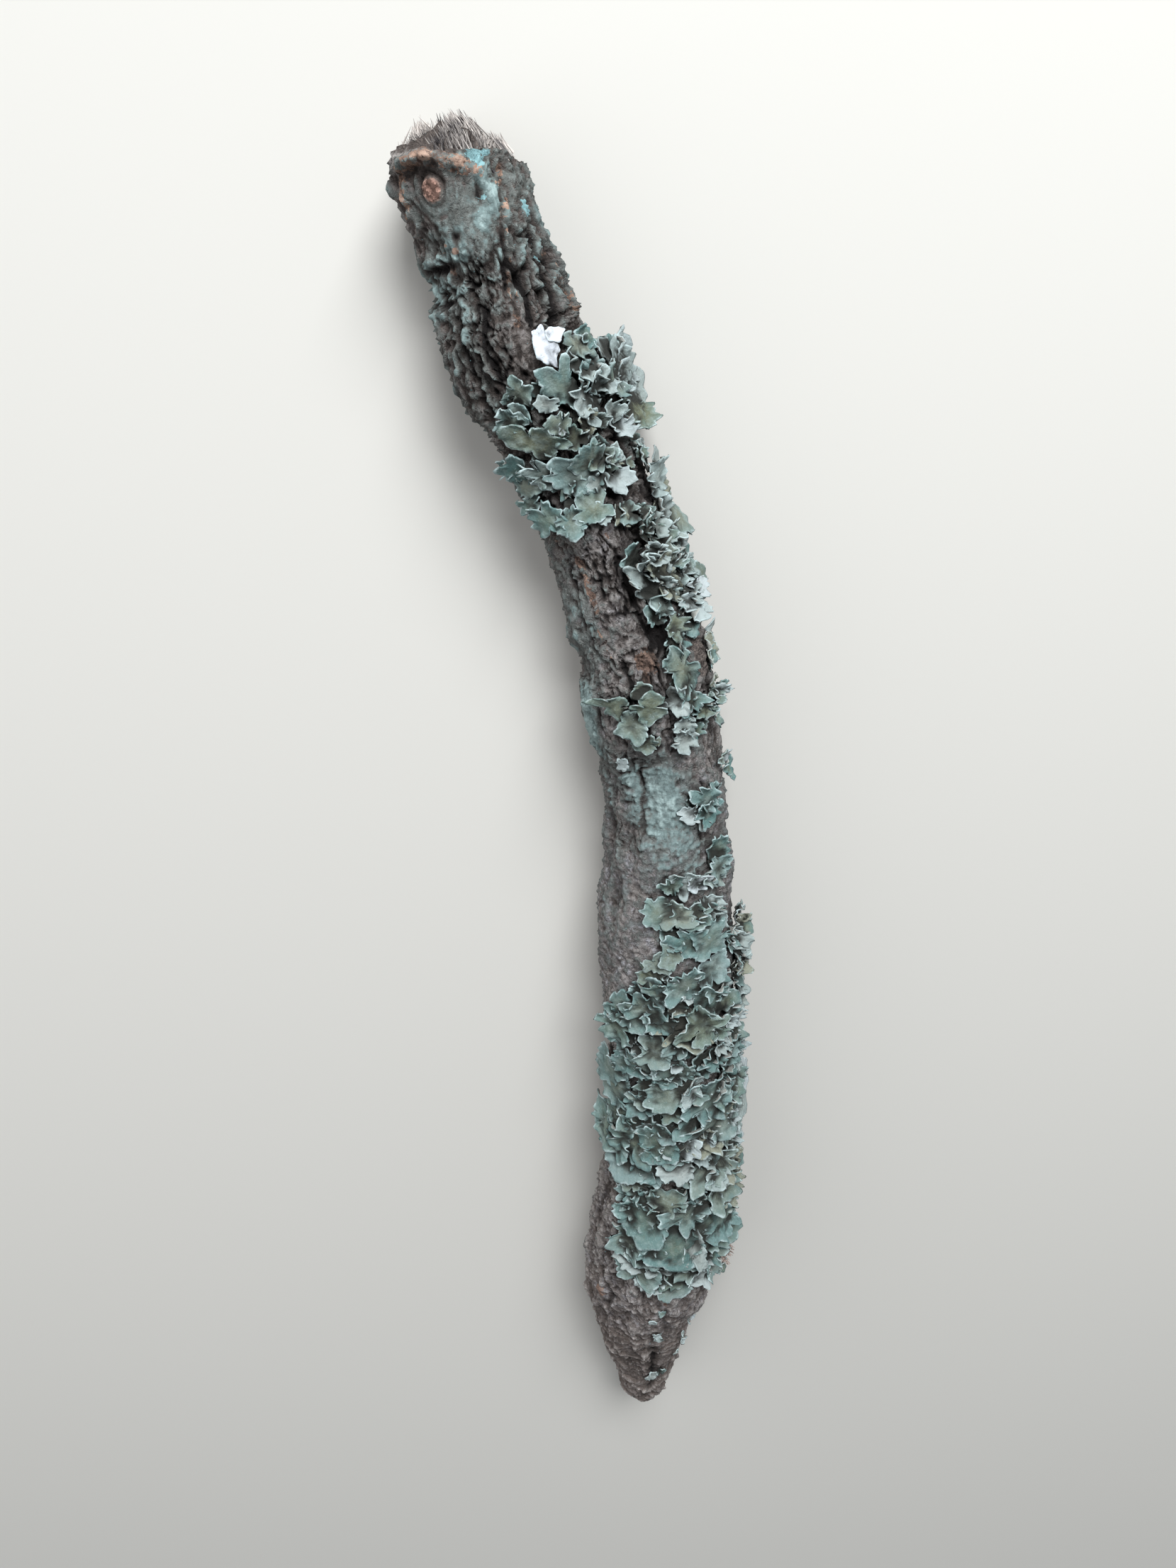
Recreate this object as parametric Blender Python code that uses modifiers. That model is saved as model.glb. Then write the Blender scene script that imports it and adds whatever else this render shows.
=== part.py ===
"""A broken, bark-covered branch with leafy lichens on its upper side, lying down.

Lengths in the tables are millimetres and angles are degrees. +Z is up, the branch lies
along Y with its broken end at +Y, and it rests on Z = 0.
"""

import math

import bmesh
import bpy
from mathutils import Vector, noise

MM = 0.001

# The branch, from its tip to its broken end: along (Y), sideways (X) and radius.
SPINE = (
    (-211, 12.0, 3.6),
    (-208, 12.9, 5.4),
    (-203, 15.2, 7.8),
    (-192, 17.3, 9.8),
    (-176, 16.2, 13.2),
    (-161, 14.6, 16.4),
    (-147, 14.8, 19.6),
    (-133, 17.6, 21.6),
    (-118, 18.8, 21.4),
    (-94, 20.2, 20.2),
    (-70, 21.3, 19.2),
    (-46, 21.4, 18.8),
    (-24, 20.4, 19.4),
    (-4, 19.3, 19.6),
    (15, 18.8, 18.3),
    (34, 18.0, 17.3),
    (55, 15.6, 16.6),
    (70, 12.0, 17.9),
    (82, 10.9, 17.4),
    (96, 6.4, 16.0),
    (115, 0.2, 15.1),
    (136, -8.6, 15.2),
    (150, -15.2, 16.2),
    (162, -22.2, 16.9),
    (175, -25.6, 14.9),
    (190, -31.2, 15.1),
    (199, -33.9, 14.4),
    (210, -35.2, 13.6),
)
TIP = -210.0
TAPER_START = -150.0
TAPER_SLOPE = 0.08
BARK_END = 201.0
WOOD_END = 208.2
WOOD_SHARE = 0.88
SPLINTER = 1.6
SINK = 0.4
BELLY_HALF_ANGLE = 15
SIDES = 26
RING_STEP = 6.0
KNOT_RINGS = (186.5, 188.7, 190.9, 192.9, 194.7, 196.4, 198.0, 199.6)

# Relief of the bark: swells, furrows that run lengthwise, and their depths.
SWELL_SIZE = 14.0
SWELL_DEPTH = 1.5
FURROW_LENGTH = 24.0
FURROW_WIDTH = 7.5
FURROW_DEPTH = 2.2

# Lumps and hollows: along, around, half length, half width, height.
LUMPS = (
    (196.6, -18, 6.0, 6.5, 0.9),
    (200.6, -20, 2.0, 9.0, 1.0),
    (183.5, -74, 2.2, 5.0, 1.3),
    (177.5, -80, 2.6, 6.0, -1.3),
    (171.5, -78, 2.4, 5.0, 1.0),
    (155.0, -80, 5.0, 5.0, 1.4),
    (168.0, 75, 7.0, 3.0, 1.2),
    (136.0, 32, 4.5, 3.4, -1.8),
    (134.0, -6, 4.0, 3.0, -1.0),
    (106.0, 28, 6.0, 3.0, -1.2),
    (94.0, -72, 3.0, 5.0, 1.1),
    (90.5, 29, 4.0, 3.0, -2.0),
    (85.0, 52, 6.5, 3.2, 2.4),
    (85.0, 0, 4.5, 3.6, -1.1),
    (75.0, -66, 6.0, 5.0, 1.3),
    (50.0, -33, 8.0, 2.6, 1.2),
    (37.5, -70, 4.0, 5.0, -1.5),
    (11.5, -2, 2.2, 6.5, -1.6),
    (12.0, -88, 5.0, 6.0, 1.0),
    (-109.0, 74, 6.0, 5.0, 1.3),
    (-128.0, -88, 7.0, 7.0, 1.1),
    (-141.0, -22, 3.0, 5.0, -1.0),
    (-186.0, 24, 6.0, 2.6, -1.6),
)

# Stumps of broken side twigs: along, around, radius, height, lean towards the tip.
KNOT = (196.4, -18, 3.4, 1.5, 0)
SIDE_STUB = (-108.0, 82, 3.6, 4.6, 25)
STUMP_SIDES = 12
STUMP_ROOT = 3.0
STUMP_FLARE = 1.15
STUMP_TAPER = 0.9
STUMP_JAG = 0.12

# The lichens: thickness of a lobe's solid, its height over the bark, the gap that is
# kept to the bark before and after thinning, and the fineness of the melting.
LOBE_THICKNESS = 1.5
LOBE_LIFT = 1.25
BARK_GAP = 0.55
LEAST_GAP = 0.3
MELT_SIZE = 0.65
LOBE_RAYS = 8
LOBE_STEPS = 5
STOUTER = 1.06
HOLDFAST_WIDTH = 3.2
HOLDFAST_STEPS = 6

# Each lobe: along and around of its root, heading (0 to the broken end, 90 to the
# right), length, half spread, rise, curl at the rim. Each list is one lichen with the
# number of triangles that it keeps.
UPPER = (
    (161.5, 34, 195, 9.0, 38, 12, 8),
    (150.5, -8, -5, 7.0, 38, 14, 15),
    (150.0, -6, 30, 5.0, 32, 12, 15),
    (147.5, -12, -20, 6.0, 20, 14, 15),
    (146.0, -15, -42, 8.5, 28, 12, 18),
    (140.0, 0, -50, 10.0, 26, 8, 10),
    (145.5, 24, -10, 9.0, 34, 10, 18),
    (148.0, 12, -65, 5.0, 28, 20, 20),
    (143.0, 38, 10, 6.0, 45, 25, 25),
    (146.0, 42, 40, 5.5, 45, 20, 25),
    (141.0, 8, -10, 6.5, 38, 10, 10),
    (145.0, 28, 185, 5.5, 38, 14, 10),
    (140.0, 46, 60, 5.0, 50, 35, 30),
    (135.5, 42, 205, 5.0, 40, 20, 25),
    (130.5, 32, -25, 8.0, 35, 12, 15),
    (128.0, 5, -10, 8.5, 45, 8, 12),
    (129.0, 15, 5, 8.0, 38, 8, 12),
    (131.5, -10, -35, 8.5, 20, 20, 20),
    (130.0, -25, -150, 8.0, 45, 14, 20),
    (128.0, -12, 200, 6.5, 45, 16, 20),
    (129.0, 6, 185, 6.5, 52, 18, 20),
    (137.0, -36, -80, 9.0, 25, 6, 5),
    (135.0, -35, -40, 7.0, 38, 8, 10),
    (124.0, 28, 170, 5.5, 45, 20, 25),
    (150.0, 60, 5, 9.0, 32, 5, 5),
    (146.0, 66, 10, 8.0, 30, 5, 5),
    (147.0, 80, 20, 11.5, 32, 66, -10),
    (148.0, 84, 50, 11.5, 30, 66, -15),
    (145.5, 86, 95, 12.0, 28, 64, -10),
    (143.0, 84, 150, 11.5, 28, 58, 0),
    (143.0, 78, 60, 8.0, 42, 45, 10),
    (149.5, 74, 0, 7.0, 36, 22, 15),
)
SHOULDER = (
    (120.0, 66, 28, 8.5, 38, 34, 15),
    (123.0, 80, 55, 8.0, 34, 50, 0),
    (118.5, 84, 92, 7.5, 48, 50, 0),
    (117.0, 82, 140, 8.5, 38, 48, 0),
    (126.0, 74, -5, 7.0, 22, 14, 5),
    (120.0, 68, 180, 6.0, 38, 22, 10),
    (112.5, 46, -4, 7.0, 26, 30, 25),
    (113.5, 44, 120, 6.5, 42, 20, 20),
    (101.5, 43, -38, 13.5, 20, 20, 8),
    (109.0, 27, -30, 5.5, 45, 14, 10),
    (101.0, 50, -28, 12.0, 18, 26, 15),
    (108.0, 56, -60, 9.0, 20, 18, 15),
    (109.0, 78, 20, 5.0, 45, 45, 10),
    (104.0, 84, 60, 5.5, 45, 55, 0),
    (100.0, 74, 30, 5.5, 45, 30, 20),
    (96.5, 82, 82, 8.5, 36, 58, 0),
    (98.0, 52, 150, 7.0, 45, 25, 25),
    (96.0, 60, 110, 6.5, 42, 25, 20),
    (95.0, 42, 212, 5.5, 34, 12, 15),
    (95.0, 34, -60, 5.0, 38, 12, 15),
    (91.5, 46, 30, 4.0, 42, 20, 25),
)
SADDLE = (
    (82.0, 27, -22, 7.0, 32, 12, 15),
    (80.0, 36, -55, 8.5, 42, 12, 15),
    (80.5, 23, 186, 6.0, 42, 14, 18),
    (77.0, 33, 170, 6.0, 42, 14, 18),
    (73.5, 31, 200, 7.0, 26, 10, 15),
    (67.5, 27, 200, 5.5, 42, 14, 20),
)
VALLEY_LEAF = (
    (73.5, -11, -52, 10.0, 20, 24, 15),
    (73.0, -6, 22, 8.5, 26, 24, 15),
    (76.0, -9, 196, 8.0, 28, 8, 10),
)
RIGHT_SCALES = (
    (44.0, 40, -30, 8.5, 22, 14, 15),
    (45.0, 22, 120, 7.0, 36, 14, 15),
    (44.0, 38, 10, 6.0, 36, 12, 15),
    (46.5, 30, 150, 6.0, 40, 12, 10),
)
RIGHT_SHINGLES = (
    (28.0, 40, 30, 7.0, 36, 12, 12),
    (23.5, 38, 35, 6.5, 40, 12, 12),
    (29.0, 44, 190, 7.0, 34, 8, 8),
)
COLLAR = (
    (20.0, 3, -15, 7.5, 26, 10, 12),
    (20.0, 13, 5, 7.0, 45, 10, 20),
    (19.0, -2, -130, 7.0, 42, 22, 15),
    (19.0, 4, 180, 7.0, 46, 24, 15),
    (19.0, 15, 175, 7.0, 46, 24, 15),
    (19.0, 27, 165, 6.5, 42, 20, 15),
    (3.0, 16, -10, 7.5, 42, 10, 12),
    (2.0, 22, 30, 9.0, 40, 10, 14),
    (0.0, 20, 120, 8.5, 45, 12, 16),
    (8.0, 30, 60, 6.5, 36, 12, 16),
    (4.0, 10, -100, 5.5, 42, 14, 14),
    (10.0, 34, 10, 6.0, 40, 8, 10),
    (0.0, 52, 60, 5.5, 40, 16, 14),
    (-1.0, -3, -45, 5.5, 42, 10, 12),
    (-3.0, -5, -95, 7.5, 30, 8, 10),
    (-1.0, 10, 180, 8.5, 42, 10, 14),
    (-4.0, 20, 170, 7.0, 42, 12, 14),
    (-5.0, 32, 150, 6.0, 42, 12, 14),
    (-9.0, -38, 100, 12.5, 30, 6, 12),
    (-20.0, -42, -60, 7.5, 42, 8, 12),
    (-22.0, -42, -110, 8.5, 42, 10, 12),
    (-15.0, -35, 160, 7.5, 36, 14, 14),
    (-24.0, -45, 175, 6.5, 24, 20, 12),
    (-14.0, 9, 180, 12.0, 42, 20, 10),
    (-17.0, 2, -115, 8.5, 30, 20, 12),
    (-21.0, 8, 170, 9.5, 38, 14, 12),
    (-20.0, 22, 30, 9.5, 46, 10, 14),
    (-22.0, 36, 175, 6.5, 38, 22, 20),
    (-25.0, -15, 180, 8.5, 46, 12, 14),
    (-28.0, 2, 185, 7.5, 26, 14, 12),
    (-31.0, 38, 200, 7.0, 46, 14, 14),
    (-29.0, -42, 190, 7.5, 42, 10, 12),
    (-34.0, 74, 65, 7.0, 46, 36, 0),
    (-28.0, 60, 160, 8.0, 42, 14, 10),
    (4.0, 82, 10, 7.5, 42, 56, 0),
    (0.0, 80, 160, 7.0, 40, 46, 0),
    (-11.5, 82, 30, 7.0, 42, 54, 0),
    (-6.0, 74, 170, 8.0, 38, 22, 5),
)
SKIRT = (
    (-45.0, -50, -130, 12.5, 36, 10, 8),
    (-47.0, -40, 180, 8.5, 30, 12, 12),
    (-40.0, -28, 175, 8.0, 46, 8, 10),
    (-39.0, -10, 172, 9.0, 44, 8, 10),
    (-38.5, 2, 185, 11.0, 36, 18, 10),
    (-38.5, 22, 200, 11.0, 18, 18, 10),
    (-43.5, 30, 180, 12.5, 36, 10, 12),
    (-50.0, 20, 185, 11.5, 32, 12, 12),
    (-50.0, 38, 170, 14.5, 32, 10, 12),
    (-58.0, 46, 165, 11.0, 42, 14, 16),
    (-45.0, 56, 172, 11.0, 34, 10, 12),
    (-47.0, -20, 185, 7.5, 42, 12, 14),
    (-54.0, -58, 180, 9.5, 42, 8, 10),
    (-58.0, -45, -160, 14.5, 40, 10, 12),
    (-58.0, -34, 185, 14.5, 36, 10, 12),
    (-60.0, -24, 162, 10.5, 36, 10, 12),
    (-62.0, -52, -140, 12.0, 36, 10, 10),
    (-54.0, -12, 180, 9.0, 46, 12, 14),
    (-58.0, 10, 165, 9.0, 45, 16, 14),
    (-64.0, 3, 130, 6.0, 30, 30, 20),
    (-67.0, 27, 190, 6.0, 34, 24, 14),
    (-68.0, -30, 185, 11.0, 42, 16, 14),
    (-63.0, -10, 190, 7.0, 38, 14, 14),
    (-69.0, 10, -165, 10.0, 40, 22, 18),
    (-68.0, 31, 165, 12.0, 30, 16, 14),
    (-77.0, -38, 180, 9.0, 46, 10, 12),
    (-80.0, 45, 165, 12.5, 30, 14, 10),
    (-84.0, 58, 160, 13.0, 24, 18, 8),
    (-80.0, 22, 180, 10.0, 34, 10, 10),
    (-80.0, -18, 190, 12.0, 44, 12, 14),
    (-86.0, -14, 182, 14.0, 40, 12, 14),
    (-80.0, -5, 165, 8.0, 38, 14, 14),
    (-86.0, 19, 195, 10.5, 46, 16, 14),
    (-95.0, 38, 165, 13.5, 34, 14, 14),
    (-86.0, -44, -115, 7.0, 42, 10, 12),
    (-95.0, -42, -135, 7.0, 42, 10, 12),
    (-99.0, -48, -155, 9.5, 38, 12, 14),
    (-100.0, -35, 180, 9.5, 42, 12, 14),
    (-99.0, -22, 175, 9.0, 36, 10, 12),
    (-97.0, 10, 185, 10.5, 48, 14, 14),
    (-100.0, -12, 185, 9.0, 38, 10, 12),
    (-102.0, 27, 172, 8.0, 26, 18, 12),
    (-106.0, -28, 185, 8.5, 42, 14, 14),
    (-105.0, -6, 185, 9.0, 45, 12, 14),
    (-112.0, -28, 190, 9.5, 42, 14, 14),
    (-112.0, 2, 180, 8.0, 42, 12, 14),
    (-117.0, -6, 187, 7.5, 40, 16, 14),
    (-117.0, 5, 180, 9.0, 36, 14, 14),
    (-108.0, 18, 185, 8.0, 45, 20, 20),
    (-114.0, 22, 180, 8.0, 42, 20, 20),
    (-107.0, 45, 170, 9.0, 30, 24, 18),
    (-108.0, 56, 175, 9.0, 28, 26, 18),
    (-118.0, 60, 150, 8.0, 34, 28, 10),
    (-118.0, 34, 180, 7.5, 36, 18, 14),
    (-50.0, 76, 60, 8.0, 42, 50, 0),
    (-54.0, 78, 110, 8.0, 42, 50, 0),
    (-59.0, 78, 60, 8.0, 42, 48, 0),
    (-63.0, 76, 120, 8.0, 42, 46, 0),
    (-68.0, 78, 90, 7.5, 44, 48, 0),
    (-74.0, 76, 120, 8.0, 40, 40, 0),
    (-80.0, 78, 150, 8.5, 30, 46, 0),
    (-57.0, 66, 175, 9.0, 40, 14, 5),
    (-66.0, 66, 175, 9.0, 40, 14, 5),
    (-92.0, 70, 140, 9.0, 40, 24, 5),
    (-84.0, 72, 170, 9.0, 36, 14, 5),
)
TIP_SCALES = (
    (-182.0, 12, 175, 6.5, 40, 10, 10),
    (-182.5, 28, 170, 6.0, 38, 12, 10),
    (-181.0, 16, 60, 4.5, 40, 8, 10),
)
LICHENS = (
    ("lichen_upper", UPPER, 1220),
    ("lichen_shoulder", SHOULDER, 720),
    ("lichen_saddle", SADDLE, 240),
    ("lichen_valley_leaf", VALLEY_LEAF, 120),
    ("lichen_right_scales", RIGHT_SCALES, 130),
    ("lichen_right_shingles", RIGHT_SHINGLES, 100),
    ("lichen_collar", COLLAR, 1150),
    ("lichen_skirt", SKIRT, 1650),
    ("lichen_tip_scales", TIP_SCALES, 70),
)

# Name, colour, roughness.
MATERIALS = (
    ("bark", (0.145, 0.118, 0.100), 0.92),
    ("lichen", (0.300, 0.360, 0.310), 0.88),
)


def clear_scene():
    for item in list(bpy.data.objects):
        bpy.data.objects.remove(item, do_unlink=True)


def new_collection(name):
    collection = bpy.data.collections.new(name)
    bpy.context.scene.collection.children.link(collection)
    return collection


def new_material(name, colour, roughness):
    material = bpy.data.materials.new(name)
    material.use_nodes = True
    shader = material.node_tree.nodes["Principled BSDF"]
    shader.inputs["Base Color"].default_value = (*colour, 1.0)
    shader.inputs["Roughness"].default_value = roughness
    shader.inputs["Metallic"].default_value = 0.0
    return material


def new_object(name, mesh, collection, material):
    item = bpy.data.objects.new(name, mesh)
    mesh.materials.append(material)
    collection.objects.link(item)
    return item


# The spine and the surface round it


def spine_slope(index, column):
    """Rise per millimetre of one column of the spine at a station."""
    before = SPINE[max(index - 1, 0)]
    after = SPINE[min(index + 1, len(SPINE) - 1)]
    return (after[column] - before[column]) / (after[0] - before[0])


def spine_value(along, column):
    """A smooth curve through one column of the spine."""
    index = 0
    while index < len(SPINE) - 2 and along > SPINE[index + 1][0]:
        index += 1
    start, end = SPINE[index], SPINE[index + 1]
    span = end[0] - start[0]
    t = (along - start[0]) / span
    rise_start = spine_slope(index, column) * span
    rise_end = spine_slope(index + 1, column) * span
    return (
        (2 * t**3 - 3 * t**2 + 1) * start[column]
        + (t**3 - 2 * t**2 + t) * rise_start
        + (3 * t**2 - 2 * t**3) * end[column]
        + (t**3 - t**2) * rise_end
    )


def spine_height(along):
    """Height of the branch's centre: its belly lies on the floor, and the tip droops."""
    if along >= TAPER_START:
        return spine_value(along, 2) - SINK
    return spine_value(TAPER_START, 2) - SINK - TAPER_SLOPE * (TAPER_START - along)


def surface_point(along, around, height=0.0, share=1.0):
    """A point over the bark, in millimetres: around is 0 at the top and 90 at +X."""
    slope = spine_value(along + 1, 1) - spine_value(along - 1, 1)
    side = Vector((2.0, -slope, 0.0)).normalized()
    angle = math.radians(around)
    reach = spine_value(along, 2) * share + height
    point = Vector((spine_value(along, 1), along, spine_height(along)))
    return point + reach * (math.sin(angle) * side + math.cos(angle) * Vector((0, 0, 1)))


def lump_height(along, around):
    radius = spine_value(along, 2)
    total = 0.0
    for lump_along, lump_around, half_length, half_width, height in LUMPS:
        sideways = math.radians(around - lump_around) * radius
        far = ((along - lump_along) / half_length) ** 2 + (sideways / half_width) ** 2
        total += height * math.exp(-far)
    return total


def bark_relief(along, around):
    """Height of the bark over its mean radius, in millimetres."""
    angle = math.radians(around)
    radius = spine_value(along, 2)
    ring = Vector((radius * math.sin(angle), radius * math.cos(angle), along))
    swell = noise.noise(ring / SWELL_SIZE)
    squeezed = Vector((ring.x / FURROW_WIDTH, ring.y / FURROW_WIDTH, along / FURROW_LENGTH))
    furrow = 0.35 - abs(noise.noise(squeezed))
    return SWELL_DEPTH * swell + FURROW_DEPTH * furrow + lump_height(along, around)


# The branch


def branch_rings():
    """Along, share of the radius, share of the relief and raggedness of every ring."""
    rings = [(TIP, 0.3, 0.0, 0.0), (TIP + 0.4, 0.8, 0.3, 0.5), (TIP + 2.5, 1.0, 1.0, 0.0)]
    count = round((KNOT_RINGS[0] - TIP) / RING_STEP)
    step = (KNOT_RINGS[0] - TIP) / count
    rings += [(TIP + step * i, 1.0, 1.0, 0.0) for i in range(1, count)]
    rings += [(along, 1.0, 1.0, 0.0) for along in KNOT_RINGS]
    rings += [
        (BARK_END, 1.0, 1.0, 0.5),
        (BARK_END + 0.4, WOOD_SHARE, 0.2, 0.3),
        (WOOD_END - 3.5, WOOD_SHARE, 0.3, 0.4),
        (WOOD_END - 0.5, WOOD_SHARE * 0.93, 0.3, 1.0),
        (WOOD_END - 1.6, WOOD_SHARE * 0.7, 0.3, -0.8),
        (WOOD_END - 0.2, WOOD_SHARE * 0.45, 0.3, 0.9),
        (WOOD_END - 2.0, WOOD_SHARE * 0.2, 0.0, -0.4),
    ]
    return rings


def on_belly(along, around):
    """Whether a point belongs to the flat strip that the branch lies on."""
    return abs(around) > 180 - BELLY_HALF_ANGLE and TAPER_START < along < BARK_END


def branch_mesh(grow=0.0):
    """The branch as a ring-by-ring tube, closed at both ends, with its stumps."""
    rings = branch_rings()
    work = bmesh.new()
    bmesh.ops.create_grid(work, x_segments=SIDES, y_segments=len(rings) - 1, size=1)
    for vertex in work.verts:
        side = round((vertex.co.x + 1) / 2 * SIDES)
        along, share, relief, ragged = rings[round((vertex.co.y + 1) / 2 * (len(rings) - 1))]
        around = side * 360 / SIDES - 180
        unevenness = 3 * noise.noise(Vector((side % SIDES, along, 0)))
        jag = SPLINTER * ragged * math.sin(2.4 * side + unevenness)
        height = relief * bark_relief(along, around) + grow
        if share < 1:
            jag += math.copysign(grow, along)
        place = surface_point(along + jag, around, height, share)
        if grow == 0:
            place.z = max(place.z, 0.0)
        if grow == 0 and on_belly(along, around):
            place.z = 0.0
        vertex.co = place * MM
    bmesh.ops.remove_doubles(work, verts=work.verts, dist=1e-6)
    bmesh.ops.holes_fill(work, edges=[edge for edge in work.edges if edge.is_boundary])
    bmesh.ops.recalc_face_normals(work, faces=work.faces)
    bmesh.ops.triangulate(work, faces=work.faces)
    mesh = bpy.data.meshes.new("branch")
    work.to_mesh(mesh)
    work.free()
    return mesh


def stump_mesh(along, around, radius, height, lean, grow=0.0):
    """A short broken stump with a ragged rim, standing on the bark."""
    root = surface_point(along, around, -STUMP_ROOT)
    outward = (surface_point(along, around, 1.0) - surface_point(along, around)).normalized()
    outward = (outward + math.tan(math.radians(lean)) * Vector((0, -1, 0))).normalized()
    work = bmesh.new()
    bmesh.ops.create_cone(
        work,
        cap_ends=True,
        segments=STUMP_SIDES,
        depth=1,
        radius1=STUMP_FLARE,
        radius2=STUMP_TAPER,
    )
    turn = outward.to_track_quat("Z", "Y")
    for index, vertex in enumerate(work.verts):
        top = vertex.co.z > 0
        jag = STUMP_JAG * height * math.sin(2.6 * index)
        reach = (STUMP_ROOT + height + jag + grow) if top else 0.0
        flat = Vector((vertex.co.x, vertex.co.y, 0)) * (radius + grow)
        vertex.co = (root + turn @ (flat + Vector((0, 0, reach)))) * MM
    bmesh.ops.recalc_face_normals(work, faces=work.faces)
    mesh = bpy.data.meshes.new("stump")
    work.to_mesh(mesh)
    work.free()
    return mesh


def add_boolean(item, other, operation):
    cut = item.modifiers.new(operation.title(), "BOOLEAN")
    cut.operation = operation
    cut.solver = "EXACT"
    cut.object = other


def make_helper(name, mesh, helpers, material):
    item = new_object(name, mesh, helpers, material)
    item.hide_render = True
    item.display_type = "WIRE"
    return item


def make_branch(name, collection, helpers, material, grow=0.0):
    """The branch with its knot and side stub joined on; grown, it is a cutter."""
    mesh = branch_mesh(grow)
    if grow:
        branch = make_helper(name, mesh, helpers, material)
    else:
        branch = new_object(name, mesh, collection, material)
    for label, stump in (("knot", KNOT), ("side_stub", SIDE_STUB)):
        stub = make_helper(f"{name}_{label}", stump_mesh(*stump, grow), helpers, material)
        add_boolean(branch, stub, "UNION")
    return branch


# The lichens


def bend_lobe(reach, ray, length, rise, curl):
    """How far over the bark and how high a lobe's sheet is at one reach from its root."""
    steps = 12
    far, high = 0.0, LOBE_LIFT
    for step in range(steps):
        t = reach * (step + 0.5) / steps
        pitch = math.radians(rise * min(1.0, 2.5 * t) + curl * max(0.0, 2 * t - 1))
        far += math.cos(pitch) * length * reach / steps
        high += math.sin(pitch) * length * reach / steps
    ruffle = 0.06 * length * reach**2 * math.sin(math.radians(8 * ray) + length)
    return far, high + ruffle


def add_lobe(work, along, around, heading, length, spread, rise, curl):
    """A fan-shaped sheet that starts at its root and follows the bark."""
    made = bmesh.ops.create_grid(work, x_segments=LOBE_RAYS, y_segments=LOBE_STEPS, size=1)
    radius = spine_value(along, 2)
    for vertex in made["verts"]:
        ray = vertex.co.x * spread
        rim = 1 - 0.28 * abs(vertex.co.x) ** 3 + 0.07 * math.sin(math.radians(12 * ray) + along)
        reach = 0.12 + 0.88 * (vertex.co.y + 1) / 2
        far, high = bend_lobe(reach * rim, ray, length * STOUTER, rise, curl)
        direction = math.radians(heading + ray * (1.5 - 0.5 * reach))
        place_along = along + far * math.cos(direction)
        place_around = around + math.degrees(far * math.sin(direction) / radius)
        high += (1 - 0.6 * reach) * bark_relief(place_along, place_around)
        vertex.co = surface_point(place_along, place_around, high) * MM


def add_holdfast(work, start, end):
    """A low strip on the bark from one lobe's root to the next, which joins them."""
    made = bmesh.ops.create_grid(work, x_segments=2, y_segments=HOLDFAST_STEPS, size=1)
    radius = spine_value((start[0] + end[0]) / 2, 2)
    ahead = end[0] - start[0]
    across = math.radians(end[1] - start[1]) * radius
    length = math.hypot(ahead, across) or 1.0
    for vertex in made["verts"]:
        share = (vertex.co.y + 1) / 2
        out = vertex.co.x * HOLDFAST_WIDTH / 2
        along = start[0] + share * ahead - out * across / length
        sideways = share * across + out * ahead / length
        around = start[1] + math.degrees(sideways / radius)
        high = LOBE_LIFT + bark_relief(along, around)
        vertex.co = surface_point(along, around, high) * MM


def root_distance(one, other):
    radius = spine_value(one[0], 2)
    return math.hypot(one[0] - other[0], math.radians(one[1] - other[1]) * radius)


def lobes_mesh(name, lobes):
    work = bmesh.new()
    for lobe in lobes:
        add_lobe(work, *lobe)
    for index in range(1, len(lobes)):
        near = min(lobes[:index], key=lambda other: root_distance(other, lobes[index]))
        add_holdfast(work, near, lobes[index])
    bmesh.ops.recalc_face_normals(work, faces=work.faces)
    mesh = bpy.data.meshes.new(name)
    work.to_mesh(mesh)
    work.free()
    return mesh


def evaluated_mesh(item):
    graph = bpy.context.evaluated_depsgraph_get()
    return bpy.data.meshes.new_from_object(item.evaluated_get(graph))


def keep_largest_body(mesh):
    """Drops the crumbs that a cut leaves, so that one body stays."""
    work = bmesh.new()
    work.from_mesh(mesh)
    bmesh.ops.triangulate(work, faces=work.faces)
    waiting = set(work.verts)
    bodies = []
    while waiting:
        body, edge_of_body = set(), [waiting.pop()]
        while edge_of_body:
            vertex = edge_of_body.pop()
            body.add(vertex)
            near = {edge.other_vert(vertex) for edge in vertex.link_edges} & waiting
            waiting -= near
            edge_of_body.extend(near)
        bodies.append(body)
    largest = max(bodies, key=len)
    crumbs = [vertex for vertex in work.verts if vertex not in largest]
    bmesh.ops.delete(work, geom=crumbs, context="VERTS")
    work.to_mesh(mesh)
    work.free()


def make_lichen(name, lobes, triangles, clear, least, collection, material):
    """Lobes melted into one body, cut clear of the bark and thinned to few faces."""
    sheet = new_object(name, lobes_mesh(name, lobes), collection, material)
    thick = sheet.modifiers.new("Thickness", "SOLIDIFY")
    thick.thickness = LOBE_THICKNESS * MM
    thick.offset = 0.0
    melt = sheet.modifiers.new("Melt", "REMESH")
    melt.mode = "VOXEL"
    melt.voxel_size = MELT_SIZE * MM
    add_boolean(sheet, clear, "DIFFERENCE")
    solid = evaluated_mesh(sheet)
    bpy.data.objects.remove(sheet, do_unlink=True)
    keep_largest_body(solid)
    body = new_object(name, solid, collection, material)
    thin = body.modifiers.new("Thin", "DECIMATE")
    thin.ratio = triangles / len(solid.polygons)
    add_boolean(body, least, "DIFFERENCE")
    final = evaluated_mesh(body)
    bpy.data.objects.remove(body, do_unlink=True)
    keep_largest_body(final)
    return new_object(name, final, collection, material)


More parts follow.
